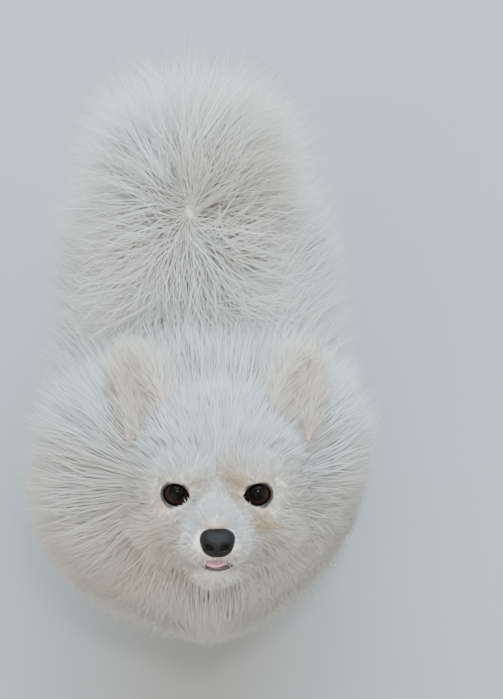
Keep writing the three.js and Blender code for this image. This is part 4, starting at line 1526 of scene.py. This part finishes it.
@dataclass(frozen=True)
class MarkingsAndShade:
    """The colours that skin and coat share: their marks, and patches of painted shade."""

    white: Colour = (0.91, 0.895, 0.86, 1)
    cream: Colour = (0.87, 0.81, 0.70, 1)
    apricot: Colour = (0.90, 0.82, 0.71, 1)
    whiteness: float = 0.65
    # Both cheeks, the stains beside the left eye, fainter ones beside the right, the hair about the nose,
    # painted shade along the parting up the muzzle, painted shade round the lids, the ears' tips, and painted
    # shade in the partings at the plume's crown and root.
    patches: tuple[Patch, ...] = (
        Patch((36, 6, -14), (26, 30, 26), (0.86, 0.80, 0.69, 1), 0.6),
        Patch((-36, 6, -14), (26, 30, 26), (0.86, 0.80, 0.69, 1), 0.6),
        Patch((10, -6, 3), (8, 14, 12), (0.80, 0.62, 0.43, 1), 0.85),
        Patch((21, -6, -11), (8, 14, 8), (0.78, 0.56, 0.36, 1), 0.9),
        Patch((-10, -6, 1), (6, 12, 9), (0.78, 0.66, 0.53, 1), 0.5),
        Patch((-27, -2, -9), (10, 14, 10), (0.84, 0.72, 0.56, 1), 0.55),
        Patch((0.9, -31, -18.0), (8.6, 9, 7.8), (0.36, 0.32, 0.30, 1), 0.7),
        # painted shade of the parting along the middle of the muzzle
        Patch((0.5, -24, -8), (0.9, 9, 6), (0.5, 0.46, 0.42, 1), 0.5),
        # painted shade round the lids, one patch a side
        Patch((20.7, -4, 0.6), (10, 9, 9.5), (0.66, 0.58, 0.48, 1), 0.5),
        Patch((-20.7, -4, 0.6), (10, 9, 9.5), (0.66, 0.58, 0.48, 1), 0.5),
        Patch((43, 34, 51), (6, 8, 9), (0.86, 0.66, 0.60, 1), 0.6),
        Patch((-43, 34, 51), (6, 8, 9), (0.86, 0.66, 0.60, 1), 0.6),
        # painted shade in the partings at the plume's crown and at its root
        Patch(on_back(1.0, 84.0, 248.0), (9, 15, 15), (0.62, 0.52, 0.40, 1), 0.8),
        Patch(on_back(7.0, 114.0, 240.0), (8, 20, 20), (0.76, 0.67, 0.54, 1), 0.6),
    )

    def colour(self, nodes: Nodes) -> bpy.types.NodeSocket:
        """The coat's colour, with its painted shade, from the place of its root.

        Args:
            nodes: the material in the making.

        Returns:
            The colour's socket.
        """
        place = nodes.read("root", "Vector")
        wide = nodes.noise(place, 0.035, 2)
        colour = nodes.mixed(nodes.stepped(wide, 0.42, 0.62), self.white, self.cream)
        colour = nodes.mixed(self.whiteness, self.white, colour)
        ear = nodes.read("ear", "Fac")
        colour = nodes.mixed(nodes.stepped(ear, 0.1, 0.75), colour, self.apricot)
        # the patches lay on the stains and the painted shade alike
        for patch in self.patches:
            away = nodes.vectors("DIVIDE", nodes.vectors("SUBTRACT", place, patch.centre), patch.reach)
            far = nodes.add("ShaderNodeVectorMath", {0: away}, operation="LENGTH").outputs["Value"]
            far = nodes.sums("ADD", far, nodes.sums("MULTIPLY", nodes.noise(place, 0.25), 0.4))
            share = nodes.sums("MULTIPLY", nodes.stepped(far, 1.5, 0.55), patch.strength)
            colour = nodes.mixed(share, colour, patch.colour)
        return colour


@dataclass(frozen=True)
class HairFinish:
    """Soft hair that lets light through, a little warmer at the root."""

    markings_and_shade: MarkingsAndShade = MarkingsAndShade()
    root_tone: Colour = (0.84, 0.76, 0.64, 1)
    root_share: float = 0.4
    light_through: float = 0.6

    def make(self) -> bpy.types.Material:
        """The coat's material.

        Returns:
            The material.
        """
        nodes = Nodes("coat_hair")
        colour = self.markings_and_shade.colour(nodes)
        root = nodes.mixed(self.root_share, colour, self.root_tone)
        colour = nodes.mixed(nodes.stepped(nodes.read("along", "Fac"), 0.0, 0.55), root, colour)
        shade = nodes.between(nodes.read("tint", "Fac"), 0.94, 1.03)
        colour = nodes.mixed(1.0, colour, shade, "MULTIPLY")
        hair = nodes.surface(
            {
                "Base Color": colour,
                "Roughness": 0.62,
                "Specular IOR Level": 0.28,
                "Sheen Weight": 0.25,
                "Sheen Roughness": 0.5,
            }
        )
        glow = nodes.add("ShaderNodeBsdfTranslucent", {"Color": colour}).outputs[0]
        both = nodes.add("ShaderNodeMixShader", {0: self.light_through, 1: hair, 2: glow})
        return nodes.finish(both.outputs[0])


@dataclass(frozen=True)
class SkinFinish:
    """Skin under the coat: the coat's colours darkened by painted shade from the hair above it, pink in the
    ears and dark at lids and lips.
    """

    markings_and_shade: MarkingsAndShade = MarkingsAndShade()
    # painted shade: the skin under the hair is darkened to stand for the shade that the coat casts on it
    painted_shade_under_coat: Colour = (0.66, 0.63, 0.58, 1)
    ear_pink: Colour = (0.80, 0.60, 0.52, 1)
    edge: Colour = (0.035, 0.026, 0.024, 1)

    def make(self) -> bpy.types.Material:
        """The skin's material.

        Returns:
            The material.
        """
        nodes = Nodes("dog_skin")
        # painted shade: the coat's colours multiplied down where the skin lies under the hair
        colour = nodes.mixed(1.0, self.markings_and_shade.colour(nodes), self.painted_shade_under_coat, "MULTIPLY")
        colour = nodes.mixed(nodes.stepped(nodes.read("ear", "Fac"), 0.3, 0.9), colour, self.ear_pink)
        colour = nodes.mixed(nodes.read("dark", "Fac"), colour, self.edge)
        pores = nodes.noise(nodes.read("root", "Vector"), 1.6, 4)
        normal = nodes.bump(pores, 0.3, 0.0006)
        return nodes.finish(nodes.surface({"Base Color": colour, "Roughness": 0.6, "Normal": normal}))


@dataclass(frozen=True)
class LeatherFinish:
    """Black nose leather with fine pebbles and a moist gloss."""

    low: Colour = (0.007, 0.006, 0.006, 1)
    high: Colour = (0.015, 0.013, 0.013, 1)
    gloss: float = 0.10

    def make(self) -> bpy.types.Material:
        """The nose's material.

        Returns:
            The material.
        """
        nodes = Nodes("nose_leather")
        place = nodes.here()
        pebbles = nodes.add("ShaderNodeTexVoronoi", {"Vector": place, "Scale": 1500.0}).outputs["Distance"]
        fine = nodes.noise(place, 300.0, 3)
        leather = {
            "Base Color": nodes.mixed(fine, self.low, self.high),
            "Roughness": nodes.between(fine, 0.3, 0.5),
            "Specular IOR Level": self.gloss,
            "Normal": nodes.bump(pebbles, 0.5, 0.0004),
        }
        return nodes.finish(nodes.surface(leather))


@dataclass(frozen=True)
class EyeFinish:
    """A wet eye: black pupil in a dark brown iris."""

    pupil: Colour = (0.002, 0.002, 0.002, 1)
    iris_low: Colour = (0.010, 0.006, 0.004, 1)
    iris_high: Colour = (0.026, 0.013, 0.007, 1)
    white: Colour = (0.008, 0.006, 0.006, 1)
    wetness: float = 0.11

    def make(self) -> bpy.types.Material:
        """The eyeballs' material.

        Returns:
            The material.
        """
        nodes = Nodes("wet_eye")
        away = nodes.read("iris", "Fac")
        iris = nodes.mixed(nodes.noise(nodes.here(), 900.0, 3), self.iris_low, self.iris_high)
        colour = nodes.mixed(nodes.stepped(away, 4.3, 4.8), self.pupil, iris)
        colour = nodes.mixed(nodes.stepped(away, 6.0, 6.7), colour, self.white)
        eye = {
            "Base Color": colour,
            "Roughness": 0.5,
            "Specular IOR Level": 0.02,
            "Coat Weight": self.wetness,
            "Coat Roughness": 0.02,
        }
        return nodes.finish(nodes.surface(eye))


@dataclass(frozen=True)
class WetFinish:
    """Moist flesh or horn between two colours."""

    name: str
    low: Colour
    high: Colour
    roughness: float

    def make(self) -> bpy.types.Material:
        """The material of lids, lips, tongue or claws.

        Returns:
            The material.
        """
        nodes = Nodes(self.name)
        fine = nodes.noise(nodes.here(), 700.0, 3)
        flesh = {
            "Base Color": nodes.mixed(fine, self.low, self.high),
            "Roughness": self.roughness,
            "Subsurface Weight": 0.15,
            "Subsurface Radius": (0.003, 0.001, 0.0008),
            "Normal": nodes.bump(fine, 0.35, 0.0004),
        }
        return nodes.finish(nodes.surface(flesh))


LID_MARGIN = WetFinish("lid_margin", (0.012, 0.009, 0.009, 1), (0.03, 0.02, 0.02, 1), 0.3)
TONGUE_FLESH = WetFinish("tongue_flesh", (0.50, 0.20, 0.24, 1), (0.62, 0.30, 0.34, 1), 0.32)
LIP_EDGE = WetFinish("lip_edge", (0.02, 0.014, 0.015, 1), (0.05, 0.035, 0.035, 1), 0.4)
CLAW_HORN = WetFinish("claw_horn", (0.30, 0.24, 0.20, 1), (0.46, 0.39, 0.33, 1), 0.35)


@dataclass
class Face:
    """Eyes, lid margins, nose, lips and tongue, and the claws."""

    head: Head
    camera_at: np.ndarray
    cornea: float = 0.55
    margin_radius: float = 0.8
    nose_half: tuple[float, float, float] = (8.6, 7.4, 7.0)
    nose_at: tuple[float, float, float] = (0.9, -30.5, -18.6)
    nostril_out: float = 3.7
    tongue_half: tuple[float, float, float] = (6.8, 12.0, 2.4)
    tongue_at: tuple[float, float, float] = (0.0, -20.9, -29.0)
    claw_radius: float = 1.5

    def eye(self, side: int) -> bpy.types.Object:
        """An eyeball with a swell over its iris, turned to look at the viewer.

        Args:
            side: 1 for the dog's left, -1 for its right.

        Returns:
            The piece.
        """
        centre = HeadFrame.out(self.head.eye_centre(side)[None])[0]
        gaze = unit(self.camera_at - centre)
        form = ball((0, 0, 0), (1, 1, 1), 56)
        toward = unit(form.points)
        angle = np.arccos(np.clip(toward @ gaze, -1, 1))
        swell = self.cornea * (1 - ramp(angle, 0.0, 0.85))
        form.points = centre + toward * (EYE_RADIUS - 0.25 + swell)[:, None]
        name = "left" if side > 0 else "right"
        piece = object_of(f"eyeball_{name}", form)
        keep_points(piece.data, "iris", angle * EYE_RADIUS)
        piece.data.materials.append(EyeFinish().make())
        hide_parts(f"eye_{name}")
        return piece

    def lid_margins(self) -> bpy.types.Object:
        """The dark wet edges of the lids.

        Returns:
            The piece.
        """
        rims = []
        for side in SIDES:
            path = self.head.opening(side, 9.55, 0.25, 72)
            rims.append(tube(path, np.full(len(path), self.margin_radius), closed=True).in_head())
        piece = object_of("lid_margins", Form.joined(rims))
        piece.data.materials.append(LID_MARGIN.make())
        return piece

    def nose(self) -> bpy.types.Object:
        """The nose leather, broad above, with its nostrils and the groove between them.

        Returns:
            The piece.
        """
        form = ball((0, 0, 0), (1, 1, 1), 96)
        x, y, z = unit(form.points).T
        square = (np.abs(x) ** 2.5 + np.abs(y) ** 2.5 + np.abs(z) ** 2.5) ** (-1 / 2.5)
        x, y, z = x * square, y * square, z * square
        front = np.clip(-y, 0, 1)
        half_wide, half_deep, half_high = self.nose_half
        px, pz = x * (half_wide * (1 + 0.15 * z)), z * half_high
        py = y * half_deep + 0.9 * np.clip(z, 0, 1) ** 2
        hole_deep, slit_deep, rim_high, groove_deep = 3.0, 2.2, 0.5, 0.7
        for side in SIDES:
            out = side * px
            beside = out - self.nostril_out
            hole = np.hypot(beside / 2.3, (pz + 1.2 - 0.35 * beside) / 1.5)
            slit = np.hypot((out - 6.4) / 3.0, (pz + 2.3 + 0.15 * (out - 6)) / 0.75)
            py += front * (hole_deep * (1 - ramp(hole, 0.45, 1.15)) + slit_deep * (1 - ramp(slit, 0.5, 1.2)))
            rim = np.hypot((out - 4.0) / 3.5, (pz + 0.8) / 2.7)
            py -= front * rim_high * np.exp(-(((rim - 1.1) / 0.3) ** 2))
        py += front * groove_deep * np.exp(-((px / 0.55) ** 2)) * ramp(-pz, -1.5, 1.0)
        form.points = np.stack([px, py, pz], -1) + np.array(self.nose_at)
        piece = object_of("nose_leather", form.in_head())
        piece.data.materials.append(LeatherFinish().make())
        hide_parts("nose")
        return piece

    def tongue(self) -> bpy.types.Object:
        """The tip of the tongue, resting behind the lower lip with a shallow groove.

        Returns:
            The piece.
        """
        form = ball((0, 0, 0), (1, 1, 1), 48)
        x, y, z = unit(form.points).T
        groove = 0.5 * np.exp(-((x / 0.16) ** 2)) * (z > 0)
        bend = 0.9 * (1 - x * x)
        points = np.stack([x, y, z], -1) * np.array(self.tongue_half) + np.array(self.tongue_at)
        points[:, 2] -= groove + bend
        piece = object_of("tongue_tip", Form(points, form.faces).in_head())
        piece.data.materials.append(TONGUE_FLESH.make())
        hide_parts("tongue")
        return piece

    def lips(self) -> bpy.types.Object:
        """The dark edge of the lower lip, thickest in the middle.

        Returns:
            The piece.
        """
        t = np.linspace(-1, 1, 41)
        turn = t * 1.35
        lower = np.stack([0.6 + 10.0 * np.sin(turn), -16 - 15.4 * np.cos(turn), -31.5 + 2.8 * t * t], -1)
        piece = object_of("lips", tube(lower, 0.35 + 0.75 * (1 - t**4)).in_head())
        piece.data.materials.append(LIP_EDGE.make())
        return piece

    def claws(self) -> bpy.types.Object:
        """Small curved claws in front of the toes.

        Returns:
            The piece.
        """
        s = np.linspace(0, 1, 9)
        forms = []
        for x, y in PAWS:
            for toe_x, toe_y in toe_tips(x, y):
                path = np.stack([toe_x + 0 * s, toe_y - 6 - 6.5 * s, 6.5 - 4.6 * s**1.6], -1)
                forms.append(tube(path, self.claw_radius * (1 - 0.85 * s), sides=8))
        piece = object_of("claws", Form.joined(forms))
        piece.data.materials.append(CLAW_HORN.make())
        return piece

    def build(self) -> list[bpy.types.Object]:
        """Makes every piece of the face, and the claws.

        Returns:
            The pieces.
        """
        eyes = [self.eye(side) for side in SIDES]
        return [*eyes, self.lid_margins(), self.nose(), self.tongue(), self.lips(), self.claws()]


@dataclass(frozen=True)
class Lamp:
    """A round soft light that faces the dog: its place and size in metres, and its power in watts."""

    name: str
    at: tuple[float, float, float]
    size: float
    power: float
    colour: tuple[float, float, float]

    def make(self) -> None:
        """Makes the light."""
        data = bpy.data.lights.new(self.name, "AREA")
        data.shape, data.size, data.energy, data.color = "DISK", self.size, self.power, self.colour
        made = bpy.data.objects.new(self.name, data)
        made.location = Vector(self.at)
        aim = Vector((0, 0, 0.18)) - made.location
        made.rotation_euler = aim.to_track_quat("-Z", "Y").to_euler()
        bpy.context.scene.collection.objects.link(made)


@dataclass
class Studio:
    """A plain pale floor, soft light from above and the camera at the photograph's angle.

    The focal length, the picture's size and the place of the point between the eyes are in pixels, the tilt
    and the azimuth in degrees, and the distance to the eyes in millimetres.
    """

    focal: float = 1462.0
    tilt: float = 67.0
    azimuth: float = -2.4
    distance: float = 750.0
    wide: int = 503
    high: int = 699
    eye_at: tuple[float, float] = (217.0, 495.0)
    sensor: float = 36.0
    floor_half: float = 6.0
    floor_tone: Colour = (0.27, 0.28, 0.275, 1)
    sky_tone: Colour = (0.93, 0.96, 0.98, 1)
    sky_strength: float = 1.15
    lamps: tuple[Lamp, ...] = (
        Lamp("sky", (0.2, 1.7, 2.2), 3.0, 235, (0.58, 0.80, 1.0)),
        Lamp("fill", (-1.4, -2.0, 1.5), 2.8, 55, (1.0, 0.85, 0.66)),
        Lamp("side", (2.0, -1.0, 1.6), 2.4, 26, (1.0, 0.93, 0.82)),
        Lamp("window", (0.10, -0.25, 1.5), 0.15, 8.0, (1.0, 1.0, 1.0)),
    )

    def camera_spot(self) -> np.ndarray:
        """Where the camera stands, in the dog's own frame.

        Returns:
            The place.
        """
        tilt = math.radians(self.tilt)
        forward = np.array([0, math.cos(tilt), -math.sin(tilt)])
        up = np.array([0, math.sin(tilt), math.cos(tilt)])
        right = np.array([1.0, 0, 0])
        dx = (self.eye_at[0] - self.wide / 2) / self.focal
        dy = -(self.eye_at[1] - self.high / 2) / self.focal
        reach = (forward + dx * right + dy * up) * self.distance
        turn = np.array(Matrix.Rotation(math.radians(self.azimuth), 3, "Z"))
        return EYE_MID - turn @ reach

    def camera(self) -> None:
        """Makes the camera."""
        data = bpy.data.cameras.new("camera")
        data.sensor_fit, data.sensor_width = "AUTO", self.sensor
        data.lens = self.focal / self.high * self.sensor
        data.clip_end = 20
        made = bpy.data.objects.new("camera", data)
        made.location = placed(self.camera_spot())
        made.rotation_euler = (math.radians(90 - self.tilt), 0, math.radians(self.azimuth))
        bpy.context.scene.collection.objects.link(made)
        bpy.context.scene.camera = made

    def floor(self) -> None:
        """Makes the floor."""
        size = self.floor_half
        corners = [(-size, -size, 0), (size, -size, 0), (size, size, 0), (-size, size, 0)]
        mesh = bpy.data.meshes.new("floor")
        mesh.from_pydata(corners, [], [(0, 1, 2, 3)])
        floor = bpy.data.objects.new("floor", mesh)
        bpy.context.scene.collection.objects.link(floor)
        nodes = Nodes("studio_floor")
        mesh.materials.append(nodes.finish(nodes.surface({"Base Color": self.floor_tone, "Roughness": 0.9})))

    def build(self) -> None:
        """Makes floor, light and camera."""
        self.floor()
        world = bpy.data.worlds.new("studio")
        world.use_nodes = True
        back = world.node_tree.nodes["Background"]
        back.inputs["Color"].default_value = self.sky_tone
        back.inputs["Strength"].default_value = self.sky_strength
        bpy.context.scene.world = world
        for lamp in self.lamps:
            lamp.make()
        self.camera()


# The CAD nodes that the one skin stands in for.
FLESH = (
    "head neck chest loin rump tail foreleg_left foreleg_right hindleg_left hindleg_right "
    "forepaw_left forepaw_right hindpaw_left hindpaw_right"
).split()

# Each kind of coat: name, region, strands, width, rise and fall, and then what differs from the usual.
GROWTHS = (
    Growth("under_ruff", Region.NECK, 6000, 1.1, 52, 12, clump_gap=12, pull=0.1, longer=0.66),
    Growth("under_trunk", Region.TRUNK, 4000, 1.3, 58, 28, clump_gap=12, pull=0.1, longer=0.6),
    Growth(
        "coat_ruff", Region.NECK, 37000, 0.46, 56, 8,
        sway=0.2, stray=0.36, clump_gap=4.5, pull=0.12, whole=0.82,
    ),
    Growth(
        "coat_trunk", Region.TRUNK, 26000, 0.5, 62, 27,
        sway=0.2, stray=0.36, clump_gap=5, pull=0.14, whole=0.82,
    ),
    Growth(
        "coat_tail", Region.TAIL, 11500, 0.48, 36, 0,
        sway=0.4, stray=0.5, droop=0.1, curl=0.09, clump_gap=4, pull=0.14, rings=3, whole=0.95,
    ),
    Growth(
        "coat_head", Region.HEAD, 20000, 0.42, 42, 18,
        clump_gap=4, pull=0.18, zone=Zone.OFF_FACE, whole=0.5,
    ),
    Growth(
        "coat_face", Region.HEAD, 21000, 0.28, 22, 5,
        droop=0, clump_gap=2, pull=0.12, longer=1.3, zone=Zone.FACE, whole=0.35,
    ),
    Growth(
        "coat_ears", Region.EAR, 8000, 0.38, 44, 18,
        droop=0, clump_gap=3, pull=0.3, slot="ear", whole=0.4,
    ),
    Growth("coat_legs", Region.LEG, 7000, 0.5, 34, 10, clump_gap=5, pull=0.3, whole=0.3),
    Growth("coat_paws", Region.PAW, 4000, 0.4, 26, 6, droop=0.05, clump_gap=3, pull=0.3, whole=0.1),
)


def main() -> None:
    """Builds the studio, the skin, the face and the coat, and reports each piece."""
    logging.basicConfig(level=logging.INFO, format="%(message)s")
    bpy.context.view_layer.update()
    studio = Studio()
    studio.build()
    head = Head()
    skin = Skin(Body(), head)
    piece = skin.build()
    piece.data.materials.append(SkinFinish().make())
    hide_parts(*FLESH)
    LOG.info("skin: %d vertices", len(skin.points))
    face = Face(head, studio.camera_spot()).build()
    for part in face:
        LOG.info("%s: %d vertices", part.name, len(part.data.vertices))
    pieces = [piece, *face]
    coat = Coat(skin, HairFinish().make())
    for growth in GROWTHS:
        grown = coat.grow(growth)
        if growth.region is Region.EAR:
            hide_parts("ear_left", "ear_right")
        LOG.info("%s: %d strands in %d pieces", growth.name, growth.count, len(grown))
        pieces += grown
    for part in pieces:
        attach(part, "root")


if __name__ == "__main__":
    main()
